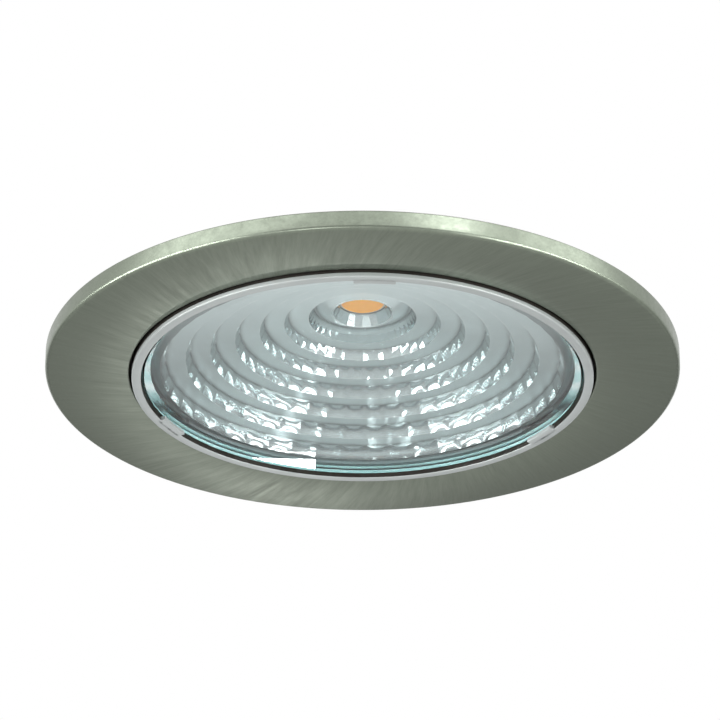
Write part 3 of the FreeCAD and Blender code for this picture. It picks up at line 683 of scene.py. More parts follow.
class Shell:
    """Mesh in the making, in millimetres."""

    def __init__(self) -> None:
        self.mesh = bmesh.new()

    def rows(self, rows: Sequence[Sequence[Vector]], around: bool, loop: bool) -> None:
        """Skin rows of points.

        Args:
            rows: points of each row; a row of one point is a pole.
            around: whether each row closes on itself.
            loop: whether the last row joins the first.
        """
        made = [[self.mesh.verts.new(point) for point in row] for row in rows]
        pairs = list(zip(made, made[1:])) + ([(made[-1], made[0])] if loop else [])
        for upper, lower in pairs:
            width = max(len(upper), len(lower))
            for i in range(width if around else width - 1):
                j = (i + 1) % width
                ring = [row[k % len(row)] for row, k in ((upper, i), (upper, j), (lower, j), (lower, i))]
                corners = [corner for k, corner in enumerate(ring) if corner not in ring[:k]]
                if len(corners) > 2:
                    self.mesh.faces.new(corners)

    def cap(self, first: int, count: int) -> None:
        """Close a row of points with one face, from the number of its first point."""
        self.mesh.verts.ensure_lookup_table()
        self.mesh.faces.new([self.mesh.verts[first + k] for k in range(count)])

    def lathe(self, outline: Sequence[Point2], segments: int, loop: bool = True) -> None:
        """Turn an outline of radius and height about the upright axis."""
        angles = [2 * math.pi * i / segments for i in range(segments)]
        rows = []
        for radius, height in outline:
            if radius < POLE_RADIUS:
                rows.append([Vector((0, 0, height))])
            else:
                rows.append([polar(radius, angle, height) for angle in angles])
        self.rows(rows, True, loop)

    def paint(self, test: Callable[[Vector], bool], material: int) -> None:
        """Give faces whose centre passes the test another material."""
        for face in self.mesh.faces:
            if test(face.calc_center_median()):
                face.material_index = material

    def finish(self, name: str, sharp: float = 32.0, closed: bool = True) -> bpy.types.Object:
        """Turn the shell into an object in metres.

        Args:
            name: name of the object.
            sharp: edges steeper than this many degrees stay sharp.
            closed: whether the normals can be made to point outwards.

        Returns:
            The object, linked to the scene.
        """
        bmesh.ops.remove_doubles(self.mesh, verts=self.mesh.verts, dist=WELD_REACH)
        if closed:
            bmesh.ops.recalc_face_normals(self.mesh, faces=self.mesh.faces)
        self.mesh.transform(Matrix.Scale(MM, 4))
        data = bpy.data.meshes.new(name)
        self.mesh.to_mesh(data)
        self.mesh.free()
        return as_object(name, data, sharp)

    def as_sector(self, name: str, sharp: float = 32.0, closed: bool = True) -> bpy.types.Mesh:
        """Turn the shell into a mesh alone, for a rule to copy."""
        item = self.finish(name, sharp, closed)
        data = item.data
        bpy.data.objects.remove(item)
        return data


def as_object(name: str, data: bpy.types.Mesh, sharp: float = 32.0) -> bpy.types.Object:
    """Smooth a mesh, keep its steep edges sharp and link it."""
    data.shade_smooth()
    data.set_sharp_from_angle(angle=math.radians(sharp))
    item = bpy.data.objects.new(name, data)
    bpy.context.scene.collection.objects.link(item)
    return item


def wear(item: bpy.types.Object, *materials: bpy.types.Material) -> bpy.types.Object:
    """Give an object its materials in order and keep which of them each face wears."""
    chosen = [face.material_index for face in item.data.polygons]
    item.data.materials.clear()
    for material in materials:
        item.data.materials.append(material)
    item.data.polygons.foreach_set("material_index", chosen)
    return item


def coat(item: bpy.types.Object, material: bpy.types.Material) -> bpy.types.Object:
    """Give every face of an object the same material; clearing sends each face back to the first."""
    item.data.materials.clear()
    item.data.materials.append(material)
    return item


def join(name: str, items: Sequence[bpy.types.Object], sharp: float = 32.0) -> bpy.types.Object:
    """One object from several, each face keeping the number of its material."""
    whole = bmesh.new()
    for item in items:
        whole.from_mesh(item.data)
    data = bpy.data.meshes.new(name)
    whole.to_mesh(data)
    whole.free()
    for item in items:
        bpy.data.objects.remove(item)
    return as_object(name, data, sharp)


def settle(item: bpy.types.Object, slot: str, *nodes: str, body: Body = Body.FITTING) -> None:
    """Put a finished piece on its body.

    Args:
        item: the piece.
        slot: the record's slot for its main finish; not used.
        nodes: CAD nodes that it stands for.
        body: the body that it rides on.
    """
    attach(item, body.value)
    if nodes:
        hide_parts(*nodes)
    log.info("piece %s rides on %s with %d faces", item.name, body.value, len(item.data.polygons))


# ------------------------------------------------------------------ geometry node trees


class GeometryRule:
    """A geometry node tree with named inputs, run once to a plain mesh."""

    def __init__(self, name: str, inputs: dict[str, tuple[str, object]]) -> None:
        self.group = bpy.data.node_groups.new(name, "GeometryNodeTree")
        self.group.interface.new_socket(name="Geometry", in_out="INPUT", socket_type=GEOMETRY)
        self.sockets = {}
        for label, (kind, value) in inputs.items():
            socket = self.group.interface.new_socket(name=label, in_out="INPUT", socket_type=kind)
            if value is not None:
                socket.default_value = value
            self.sockets[label] = socket.identifier
        self.group.interface.new_socket(name="Geometry", in_out="OUTPUT", socket_type=GEOMETRY)
        self.maker = TreeMaker(self.group)
        self.given = self.maker.add("NodeGroupInput").outputs
        self.build()

    def build(self) -> None:
        """Fill the tree."""
        raise NotImplementedError

    def close(self, geometry: bpy.types.NodeSocket) -> None:
        """End the tree in Realize Instances and Set Material."""
        real = self.maker.add("GeometryNodeRealizeInstances", {0: geometry})
        dressed = self.maker.add(
            "GeometryNodeSetMaterial", {"Geometry": real.outputs[0], "Material": self.given["Material"]}
        )
        self.maker.add("NodeGroupOutput", {"Geometry": dressed.outputs[0]})

    def run(
        self, name: str, start: bpy.types.Mesh, sharp: float = 32.0, **values: object
    ) -> bpy.types.Object:
        """Apply the rule.

        Args:
            name: name of the result.
            start: mesh that the modifier is put on.
            sharp: edges steeper than this many degrees stay sharp.
            values: the tree's inputs, Material among them; underscores stand for spaces.

        Returns:
            A plain mesh object in that one material.
        """
        carrier = bpy.data.objects.new(name + "_rule", start)
        modifier = carrier.modifiers.new(name, "NODES")
        modifier.node_group = self.group
        for label, value in values.items():
            modifier[self.sockets[label.replace("_", " ")]] = value
        bpy.context.scene.collection.objects.link(carrier)
        graph = bpy.context.evaluated_depsgraph_get()
        data = bpy.data.meshes.new_from_object(carrier.evaluated_get(graph), depsgraph=graph)
        data.name = name
        carrier.modifiers.clear()
        bpy.data.objects.remove(carrier)
        return coat(as_object(name, data, sharp), values["Material"])


class RingOfCopies(GeometryRule):
    """Copies of one sector round the upright axis, welded where they meet."""

    def __init__(self) -> None:
        super().__init__(
            "ring_of_copies",
            {
                "Count": (INTEGER, 48),
                "First Angle": (FLOAT, 0.0),
                "Centre": (VECTOR, None),
                "Weld": (FLOAT, 0.000002),
                "Material": (MATERIAL, None),
            },
        )

    def build(self) -> None:
        """One point for each copy; the copy turns with the point's number."""
        maker, given = self.maker, self.given
        points = maker.add(
            "GeometryNodeMeshLine",
            {"Count": given["Count"], "Start Location": given["Centre"], "Offset": (0, 0, 0)},
        )
        number = maker.add("GeometryNodeInputIndex").outputs[0]
        step = maker.maths("DIVIDE", 2 * math.pi, given["Count"])
        turn = maker.maths("ADD", maker.maths("MULTIPLY", number, step), given["First Angle"])
        rotation = maker.add("ShaderNodeCombineXYZ", {"Z": turn})
        copies = maker.add(
            "GeometryNodeInstanceOnPoints",
            {"Points": points.outputs[0], "Instance": given["Geometry"], "Rotation": rotation.outputs[0]},
        )
        real = maker.add("GeometryNodeRealizeInstances", {0: copies.outputs[0]})
        welded = maker.add(
            "GeometryNodeMergeByDistance", {"Geometry": real.outputs[0], "Distance": given["Weld"]}
        )
        self.close(welded.outputs[0])


@dataclass(frozen=True)
class ScrewSize:
    """Size of a screw in millimetres; the fields are named after the inputs of its rule."""

    head_radius: float
    head_height: float
    shank_radius: float
    shank_length: float
    recess_width: float


class CrossScrews(GeometryRule):
    """Domed screws with a cross recess, one on each point.

    DOME_FALL, RECESS_DEPTH and RECESS_REACH are shares of the head, SHANK_SINK of the shank, and
    TWIST_STEP is the turn in radians from one screw to the next.
    """

    HEAD_SIDES = 40
    HEAD_LEVELS = 3
    HEAD_RINGS = 7
    DOME_POWER = 3.2
    DOME_FALL = 0.5
    RECESS_REACH = 1.15
    RECESS_DEPTH = 1.1
    SHANK_SIDES = 24
    SHANK_SINK = -0.499
    TWIST_STEP = 0.73

    def __init__(self) -> None:
        super().__init__(
            "cross_screws",
            {
                "Head Radius": (FLOAT, 0.002),
                "Head Height": (FLOAT, 0.001),
                "Shank Radius": (FLOAT, 0.001),
                "Shank Length": (FLOAT, 0.005),
                "Recess Width": (FLOAT, 0.0006),
                "Tilt": (FLOAT, 0.0),
                "Material": (MATERIAL, None),
            },
        )

    def build(self) -> None:
        """The head stands on the point, the shank goes down from it."""
        maker, given = self.maker, self.given
        up = maker.add("ShaderNodeCombineXYZ", {"Z": given["Head Height"]}).outputs[0]
        cut = maker.add("GeometryNodeMeshBoolean", {"Mesh 1": self.head()}, operation="DIFFERENCE")
        long_side = maker.maths("MULTIPLY", given["Head Radius"], self.RECESS_REACH)
        depth = maker.maths("MULTIPLY", given["Head Height"], self.RECESS_DEPTH)
        for first, second in ((long_side, given["Recess Width"]), (given["Recess Width"], long_side)):
            size = maker.add("ShaderNodeCombineXYZ", {"X": first, "Y": second, "Z": depth})
            bar = maker.add("GeometryNodeMeshCube", {"Size": size.outputs[0]})
            cutter = maker.add("GeometryNodeTransform", {"Geometry": bar.outputs[0], "Translation": up})
            self.group.links.new(cutter.outputs[0], cut.inputs["Mesh 2"])
        screw = maker.add("GeometryNodeJoinGeometry")
        self.group.links.new(cut.outputs[0], screw.inputs[0])
        self.group.links.new(self.shank(), screw.inputs[0])
        number = maker.add("GeometryNodeInputIndex").outputs[0]
        twist = maker.maths("MULTIPLY", number, self.TWIST_STEP)
        turn = maker.add("ShaderNodeCombineXYZ", {"X": given["Tilt"], "Z": twist})
        placed = maker.add(
            "GeometryNodeInstanceOnPoints",
            {"Points": given["Geometry"], "Instance": screw.outputs[0], "Rotation": turn.outputs[0]},
        )
        self.close(placed.outputs[0])

    def head(self) -> bpy.types.NodeSocket:
        """Disc whose top falls away towards its rim."""
        maker, given = self.maker, self.given
        blank = maker.add(
            "GeometryNodeMeshCylinder",
            {
                "Vertices": self.HEAD_SIDES,
                "Side Segments": self.HEAD_LEVELS,
                "Fill Segments": self.HEAD_RINGS,
                "Radius": given["Head Radius"],
                "Depth": given["Head Height"],
            },
        )
        place = maker.add("GeometryNodeInputPosition").outputs[0]
        parts = maker.add("ShaderNodeSeparateXYZ", {0: place}).outputs
        reach = maker.add("ShaderNodeVectorMath", {0: place, 1: (1, 1, 0)}, operation="MULTIPLY")
        span = maker.add("ShaderNodeVectorMath", {0: reach.outputs[0]}, operation="LENGTH").outputs["Value"]
        share = maker.maths("DIVIDE", span, given["Head Radius"])
        fall = maker.maths("MULTIPLY", maker.maths("POWER", share, self.DOME_POWER), self.DOME_FALL)
        upper = maker.maths("GREATER_THAN", parts["Z"], 0.0)
        drop = maker.maths("MULTIPLY", maker.maths("MULTIPLY", fall, given["Head Height"]), upper)
        lift = maker.maths("SUBTRACT", maker.maths("MULTIPLY", given["Head Height"], 0.5), drop)
        offset = maker.add("ShaderNodeCombineXYZ", {"Z": lift}).outputs[0]
        domed = maker.add("GeometryNodeSetPosition", {"Geometry": blank.outputs[0], "Offset": offset})
        return domed.outputs[0]

    def shank(self) -> bpy.types.NodeSocket:
        """Plain shank whose top just enters the head."""
        maker, given = self.maker, self.given
        rod = maker.add(
            "GeometryNodeMeshCylinder",
            {"Vertices": self.SHANK_SIDES, "Radius": given["Shank Radius"], "Depth": given["Shank Length"]},
        )
        sunk = maker.maths("MULTIPLY", given["Shank Length"], self.SHANK_SINK)
        down = maker.add("ShaderNodeCombineXYZ", {"Z": sunk}).outputs[0]
        lowered = maker.add("GeometryNodeTransform", {"Geometry": rod.outputs[0], "Translation": down})
        return lowered.outputs[0]

    def fit(
        self,
        name: str,
        places: Sequence[Vector],
        size: ScrewSize,
        facing: HeadFacing,
        steel: bpy.types.Material,
    ) -> bpy.types.Object:
        """Make all the screws of one piece.

        Args:
            name: name of the piece.
            places: the point under each head, in millimetres.
            size: size of every screw.
            facing: which way the heads look.
            steel: material of the screws.

        Returns:
            A plain mesh object with all the screws.
        """
        start = bpy.data.meshes.new("screw_places")
        start.from_pydata([place * MM for place in places], [], [])
        sizes = {label.title(): value * MM for label, value in asdict(size).items()}
        return self.run(name, start, **sizes, Tilt=facing.value, Material=steel)


class WireOnPath(GeometryRule):
    """Round wire along a line of points."""

    def __init__(self) -> None:
        super().__init__(
            "wire_on_path",
            {
                "Wire Radius": (FLOAT, 0.0004),
                "Sides": (INTEGER, 12),
                "Material": (MATERIAL, None),
            },
        )

    def build(self) -> None:
        """Sweep a circle along the line and cap both ends."""
        maker, given = self.maker, self.given
        line = maker.add("GeometryNodeMeshToCurve", {0: given["Geometry"]})
        ring = maker.add(
            "GeometryNodeCurvePrimitiveCircle", {"Resolution": given["Sides"], "Radius": given["Wire Radius"]}
        )
        swept = maker.add(
            "GeometryNodeCurveToMesh",
            {"Curve": line.outputs[0], "Profile Curve": ring.outputs[0], "Fill Caps": True},
        )
        self.close(swept.outputs[0])

    @staticmethod
    def line(points: Sequence[Vector]) -> bpy.types.Mesh:
        """Mesh of joined points, in metres."""
        data = bpy.data.meshes.new("wire_path")
        data.from_pydata([point * MM for point in points], [(i, i + 1) for i in range(len(points) - 1)], [])
        return data


# ------------------------------------------------------------------ sub-assemblies


@dataclass
class TrimUnit:
    """Satin trim and the light ring that holds the glass."""

    outer: float = 60.0
    bore: float = 44.1
    face: float = -3.7
    dish: float = 0.3
    rim: float = 1.6
    spigot: float = 50.4
    ring_outer: float = 43.7
    ring_inner: float = 41.95
    ring_face: float = -4.58
    ring_step: float = 42.775
    ring_seat: float = -0.1
    ring_top: float = 1.4
    # above these heights the outer wall and the spigot wear ring_shade as painted shade
    outer_shade: float = -3.75
    inner_shade: float = -1.6
    lug_reach: float = 1.0
    lug_root: float = 0.6
    lug_length: float = 7.5
    lug_count: int = 3
    lug_steps: int = 12

    def trim(self) -> bpy.types.Object:
        """Dished face, rounded outer edge, wall and the hollow behind."""
        wall, hollow = self.outer - self.rim, self.face + self.rim
        outline = rounded(
            [
                (self.bore, 0, 0.15),
                (self.bore, self.face + self.dish, 0.4),
                (self.outer, self.face, 0.75),
                (self.outer, 0, 0.25),
                (wall, 0, 0.2),
                (wall, hollow, 0.3),
                (self.spigot, hollow, 0.3),
                (self.spigot, 0, 0.2),
            ],
            steps=6,
        )
        shell = Shell()
        shell.lathe(outline, ROUND_SIDES)
        return shell.finish("satin_trim", sharp=50)

    def ring(self) -> bpy.types.Object:
        """Turned ring; its spigot and its upper outer wall wear ring_shade, a dark coat painted as shade."""
        outline = rounded(
            [
                (self.ring_inner, self.ring_face, 0.12),
                (self.ring_outer, self.ring_face, 0.28),
                (self.ring_outer, self.outer_shade, 0),
                (self.ring_outer, self.ring_seat, 0.1),
                (self.ring_step, self.ring_seat, 0),
                (self.ring_step, self.ring_top, 0.15),
                (self.ring_inner, self.ring_top, 0.1),
            ],
            steps=4,
        )
        shell = Shell()
        shell.lathe(outline, ROUND_SIDES)
        # painted shade: the spigot's bore and the outer wall above outer_shade take the dark ring_shade
        reach = self.ring_step + FACE_SLACK
        shell.paint(lambda centre: centre.z > self.inner_shade and centre.xy.length < reach, 1)
        shell.paint(lambda centre: centre.z > self.outer_shade and centre.xy.length > self.ring_step, 1)
        return shell.finish("ring_body", sharp=40)

    def lug_sector(self) -> bpy.types.Mesh:
        """One lug, across +X, with softened edges."""
        inner, outer = self.ring_inner - self.lug_reach, self.ring_inner + self.lug_root
        half = self.lug_length / 2 / inner
        section = rounded(
            [
                (inner, self.ring_face, 0.15),
                (outer, self.ring_face, 0),
                (outer, GLASS_FRONT, 0),
                (inner, GLASS_FRONT, 0.1),
            ],
            steps=3,
        )
        shell = Shell()
        angles = [half * share for share in spread(self.lug_steps)]
        rows = [[polar(radius, angle, height) for radius, height in section] for angle in angles]
        shell.rows(rows, True, False)
        for row in (0, self.lug_steps):
            shell.cap(row * len(section), len(section))
        return shell.as_sector("lug_sector")

    def build(self, shelf: FinishShelf, copies: RingOfCopies) -> None:
        """Make the trim, ring and lugs, and dress the gasket."""
        settle(wear(self.trim(), shelf["satin_nickel"]), "satin_nickel", "trim_ring")
        lugs = copies.run(
            "ring_lugs",
            self.lug_sector(),
            Count=self.lug_count,
            First_Angle=math.radians(PATTERN_ANGLE),
            Material=shelf["grey_ring"],
        )
        whole = join("holding_ring", [self.ring(), lugs], sharp=40)
        settle(wear(whole, shelf["grey_ring"], shelf["ring_shade"]), "grey_ring", "retaining_ring")
        shelf.dress_node("soffit_gasket", "black_rubber")


@dataclass
class GlassUnit:
    """Clear disc with ground edges, and the seal behind it."""

    radius: float = 41.8
    front: float = GLASS_FRONT
    back: float = 0.2
    arris: float = 0.45
    arris_round: float = 0.08
    arris_drop: float = 0.05
    bevel: float = 1.6
    sides: int = 192

    def disc(self) -> bpy.types.Object:
        """Disc with polished flat faces, a ground side and a bevel behind."""
        half, top = self.radius / 2, self.front + self.arris
        rim, foot = self.radius - self.bevel, self.back - self.bevel
        outline = [
            (0, self.front),
            (half, self.front),
            (self.radius - self.arris, self.front),
            (self.radius - self.arris_round, top - self.arris_drop),
            (self.radius, top + self.arris_round),
            (self.radius, foot),
            (rim, self.back),
            (half, self.back),
            (0, self.back),
        ]
        shell = Shell()
        shell.lathe(outline, self.sides, loop=False)
        side = self.radius - FACE_SLACK
        shell.paint(lambda centre: centre.xy.length > side, 1)
        shell.paint(lambda centre: side > centre.xy.length > rim and centre.z > foot, 2)
        return shell.finish("glass_disc", sharp=20)

    def build(self, shelf: FinishShelf) -> None:
        """Make the disc and dress the seal."""
        edges = (shelf["ground_glass_edge"], shelf["bevelled_glass_edge"])
        disc = wear(self.disc(), shelf["clear_glass"], *edges)
        settle(disc, "clear_glass", "front_glass")
        shelf.dress_node("glass_seal", "silicone")


@dataclass
class ReflectorUnit:
    """Stepped bowl: each step has a faceted riser and a smooth tread.

    The fields that end in edge are offsets in radius and height from the corner that they soften.
    """

    facets: int = 48
    steps: int = 7
    first_crest: float = 10.3
    last_crest: float = 38.3
    last_crest_z: float = 0.3
    bowl_depth: float = 11.6
    bowl_power: float = 1.2
    lean: float = 0.9
    tread_rise: float = 0.45
    tread_end: float = 0.25
    wall: float = 0.8
    crest_edge: Point2 = (0.14, 0.05)
    valley_edge: Point2 = (-0.25, -0.03)
    throat_edge: Point2 = (-0.4, -0.05)
    lip_edge: tuple[Point2, ...] = ((0.0, 0.2), (0.25, 0.12))
    neck: float = 4.6
    neck_crest: Point2 = (5.7, 13.0)
    neck_valley: float = 14.7
    neck_gap: float = 0.02
    neck_wall: float = 0.3
    neck_flats: int = 22
    neck_steps: int = 4
    collar_edge: tuple[Point2, ...] = ((-0.05, 0.06), (0.12, 0.0), (0.32, 0.16))
    top: float = 15.5
    skirt_inner: float = 40.9
    skirt_outer: float = 41.85
    skirt_foot: float = 0.225
    ledge: float = 2.2
    windows: int = 3
    window_length: float = 10.6
    window_corner: float = 0.5
    window_drop: float = 0.1
    head_share: float = 0.85
    head_steps: int = 8
    corner_steps: int = 5
    span_steps: int = 60
    pillow: float = 0.03
    foot_pillow: float = 0.35
    across: int = 6
    down: int = 5

    @property
    def half_facet(self) -> float:
        """Half a facet's angle in radians."""
        return math.pi / self.facets

    def crest(self, step: int) -> Point2:
        """Radius and height of a step's lower edge."""
        share = (step - 1) / (self.steps - 1)
        radius = self.first_crest + (self.last_crest - self.first_crest) * share
        return radius, self.last_crest_z + self.bowl_depth * (1 - share**self.bowl_power)

    def valley(self, step: int) -> Point2:
        """Radius and height of the top of a step's riser."""
        radius = self.crest(step)[0] - self.lean
        return radius, self.neck_valley if step == 1 else self.crest(step - 1)[1] + self.tread_rise

    def flat_row(self, radius: float, height: float, bulge: float = 0.0) -> list[Vector]:
        """Points across one facet, pillowed towards the axis."""
        half = self.half_facet
        width = radius * math.sin(half)
        row = []
        for share in spread(self.across):
            inwards = bulge * 2 * width * (1 - share * share)
            row.append(Vector((radius * math.cos(half) - inwards, width * share, height)))
        return row

    def round_row(self, corner: Point2, offset: Point2 = (0.0, 0.0)) -> list[Vector]:
        """Points along a true arc over one facet's angle, at a corner or off it."""
        radius, height = corner[0] + offset[0], corner[1] + offset[1]
        return [polar(radius, self.half_facet * share, height) for share in spread(self.across)]

    def riser_rows(self, step: int) -> list[list[Vector]]:
        """Rows of one riser from its valley to its crest."""
        (top_r, top_z), (low_r, low_z) = self.valley(step), self.crest(step)
        rows = []
        for i in range(self.down + 1):
            share = i / self.down
            bulge = self.pillow * (self.foot_pillow * share + 1 - (2 * share - 1) ** 2)
            rows.append(
                self.flat_row(top_r + (low_r - top_r) * share, top_z + (low_z - top_z) * share, bulge)
            )
        return rows

    def sector(self) -> bpy.types.Mesh:
        """One facet's width of the whole bowl, inside and outside."""
        rows = [self.round_row((self.neck_crest[0], self.top))]
        rows += [self.round_row(self.neck_crest, edge) for edge in self.lip_edge]
        rows.append(self.round_row(self.valley(1), self.throat_edge))
        for step in range(1, self.steps + 1):
            rows += self.riser_rows(step)
            rows.append(self.round_row(self.crest(step), self.crest_edge))
            if step < self.steps:
                rows.append(self.round_row(self.valley(step + 1), self.valley_edge))
        end, height = self.skirt_inner + self.tread_end, self.ledge + self.wall
        rows += [self.round_row((end, self.ledge)), self.round_row((end, height))]
        for step in range(self.steps, 0, -1):
            radius = self.crest(step)[0] + self.wall
            rows.append(self.round_row((radius, height)))
            height = self.valley(step)[1] + self.wall
            rows.append(self.round_row((radius, height)))
        shell = Shell()
        shell.rows(rows, False, True)
        return shell.as_sector("reflector_sector", closed=False)

    def neck_sector(self) -> bpy.types.Mesh:
        """One flat of the flared collar round the emitter."""
        lip, lip_z = self.neck_crest
        half = math.pi / self.neck_flats
        seat = self.top - self.neck_gap
        edge = [(lip + out, lip_z + up) for out, up in self.collar_edge]
        section = [(self.neck, seat), (self.neck, self.top - self.neck_wall), *edge, (edge[-1][0], seat)]
        rows = [
            [Vector((r * math.cos(half), r * math.sin(half) * share, z)) for r, z in section]
            for share in spread(self.neck_steps)
        ]
        shell = Shell()
        shell.rows(rows, True, False)
        return shell.as_sector("neck_sector", sharp=20, closed=False)

    def skirt_stations(self) -> list[Point2]:
        """Angle and lower height of the skirt all round, down into each window's corners and up."""
        half = self.window_length / 2 / self.skirt_outer
        head = self.ledge - self.window_drop
        rounding = self.window_corner
        corner = []
        for i in range(self.corner_steps + 1):
            turn = math.pi / 2 * i / self.corner_steps
            shift = rounding * (1 - math.cos(turn)) / self.skirt_outer
            corner.append((shift, head - rounding + rounding * math.sin(turn)))
        span = math.radians(THIRD_TURN) - 2 * half
        stations = []
        for window in range(self.windows):
            middle = math.radians(PATTERN_ANGLE + THIRD_TURN * window)
            stations.append((middle - half, self.skirt_foot))
            stations += [(middle - half + shift, height) for shift, height in corner]
            stations += [(middle + half * share * self.head_share, head) for share in spread(self.head_steps)]
            stations += [(middle + half - shift, height) for shift, height in corner[::-1]]
            stations.append((middle + half, self.skirt_foot))
            for i in range(1, self.span_steps):
                stations.append((middle + half + span * i / self.span_steps, self.skirt_foot))
        return stations

    def skirt(self) -> bpy.types.Object:
        """Upright wall round the bowl with its three windows."""
        top = self.ledge + self.wall
        rows = []
        for angle, low in self.skirt_stations():
            corners = [
                (self.skirt_inner, low),
                (self.skirt_outer, low),
                (self.skirt_outer, top),
                (self.skirt_inner, top),
            ]
            rows.append([polar(radius, angle, height) for radius, height in corners])
        shell = Shell()
        shell.rows(rows, True, True)
        shell.paint(lambda centre: True, 1)
        return shell.finish("reflector_skirt")

    def build(self, shelf: FinishShelf, copies: RingOfCopies) -> None:
        """Make the bowl, collar and skirt as one piece."""
        mirror = shelf["mirror_reflector"]
        bowl = copies.run(
            "reflector_bowl",
            self.sector(),
            sharp=24,
            Count=self.facets,
            First_Angle=math.radians(PATTERN_ANGLE),
            Material=mirror,
        )
        flat = self.neck_sector()
        collar = copies.run("emitter_collar", flat, sharp=10, Count=self.neck_flats, Material=mirror)
        for item in (bowl, collar):
            self.face_outwards(item.data)
        whole = join("stepped_reflector", [bowl, collar, self.skirt()], sharp=12)
        settle(wear(whole, mirror, shelf["satin_skirt"]), "mirror_reflector", "reflector")

    @staticmethod
    def face_outwards(data: bpy.types.Mesh) -> None:
        """Make a closed mesh's normals point out."""
        shell = bmesh.new()
        shell.from_mesh(data)
        bmesh.ops.recalc_face_normals(shell, faces=shell.faces)
        shell.to_mesh(data)
        shell.free()


@dataclass
class LightSource:
    """Emitter, its board, the pad behind, two screws and two leads."""

    radius: float = 4.5
    low: float = 15.3
    high: float = 15.65
    dam: float = 0.45
    gel_drop: float = 0.05
    gel_rise: float = 0.06
    gel_gap: float = 0.02
    gel_shares: tuple[float, ...] = (0.3, 0.6, 0.85, 1.0)
    sides: int = 96
    screw_reach: float = 9.2
    screw_seat: float = 15.65
    screw: ScrewSize = ScrewSize(1.6, 1.1, 1.0, 2.75, 0.5)

    def emitter(self) -> bpy.types.Object:
        """Gel disc inside a raised dam."""
        gel, level = self.radius - self.dam, self.low + self.gel_drop
        outline = [(0, level)]
        outline += [(gel * share, level + self.gel_rise * share**2) for share in self.gel_shares]
        outline += rounded(
            [
                (gel + self.gel_gap, self.low, 0.12),
                (self.radius, self.low, 0.15),
                (self.radius, self.high, 0),
            ],
            steps=4,
            closed=False,
        )
        outline.append((0, self.high))
        shell = Shell()
        shell.lathe(outline, self.sides, loop=False)
        shell.paint(lambda centre: centre.xy.length > gel + self.gel_gap / 2, 1)
        return shell.finish("light_emitter")

    def build(self, shelf: FinishShelf, screws: CrossScrews) -> None:
        """Make the emitter and screws, and dress the rest."""
        emitter = wear(self.emitter(), shelf["phosphor"], shelf["emitter_dam"])
        settle(emitter, "phosphor", "led_emitter")
        places = [Vector((side * self.screw_reach, -self.screw_reach, self.screw_seat)) for side in (-1, 1)]
        heads = screws.fit("board_fixings", places, self.screw, HeadFacing.DOWN, shelf["screw_steel"])
        settle(heads, "screw_steel", "board_screws")
        shelf.dress_node("led_board", "white_board")
        shelf.dress_node("thermal_pad", "grey_pad")
        shelf.dress_node("led_leads", "lead_plastic")


@dataclass
class FinnedBody:
    """Cast body with the screws that hold the trim."""

    screw_reach: float = 47.95
    screw_seat: float = 2.3
    first_screw: float = 90.0
    screw_count: int = 3
    screw: ScrewSize = ScrewSize(2.7, 1.9, 1.5, 4.5, 0.8)

    def build(self, shelf: FinishShelf, screws: CrossScrews) -> None:
        """Dress the casting and make its screws."""
        shelf.dress_node("heat_sink", "black_casting")
        angles = [math.radians(self.first_screw + THIRD_TURN * i) for i in range(self.screw_count)]
        places = [polar(self.screw_reach, angle, self.screw_seat) for angle in angles]
        heads = screws.fit("trim_fixings", places, self.screw, HeadFacing.UP, shelf["screw_steel"])
        settle(heads, "screw_steel", "trim_screws")


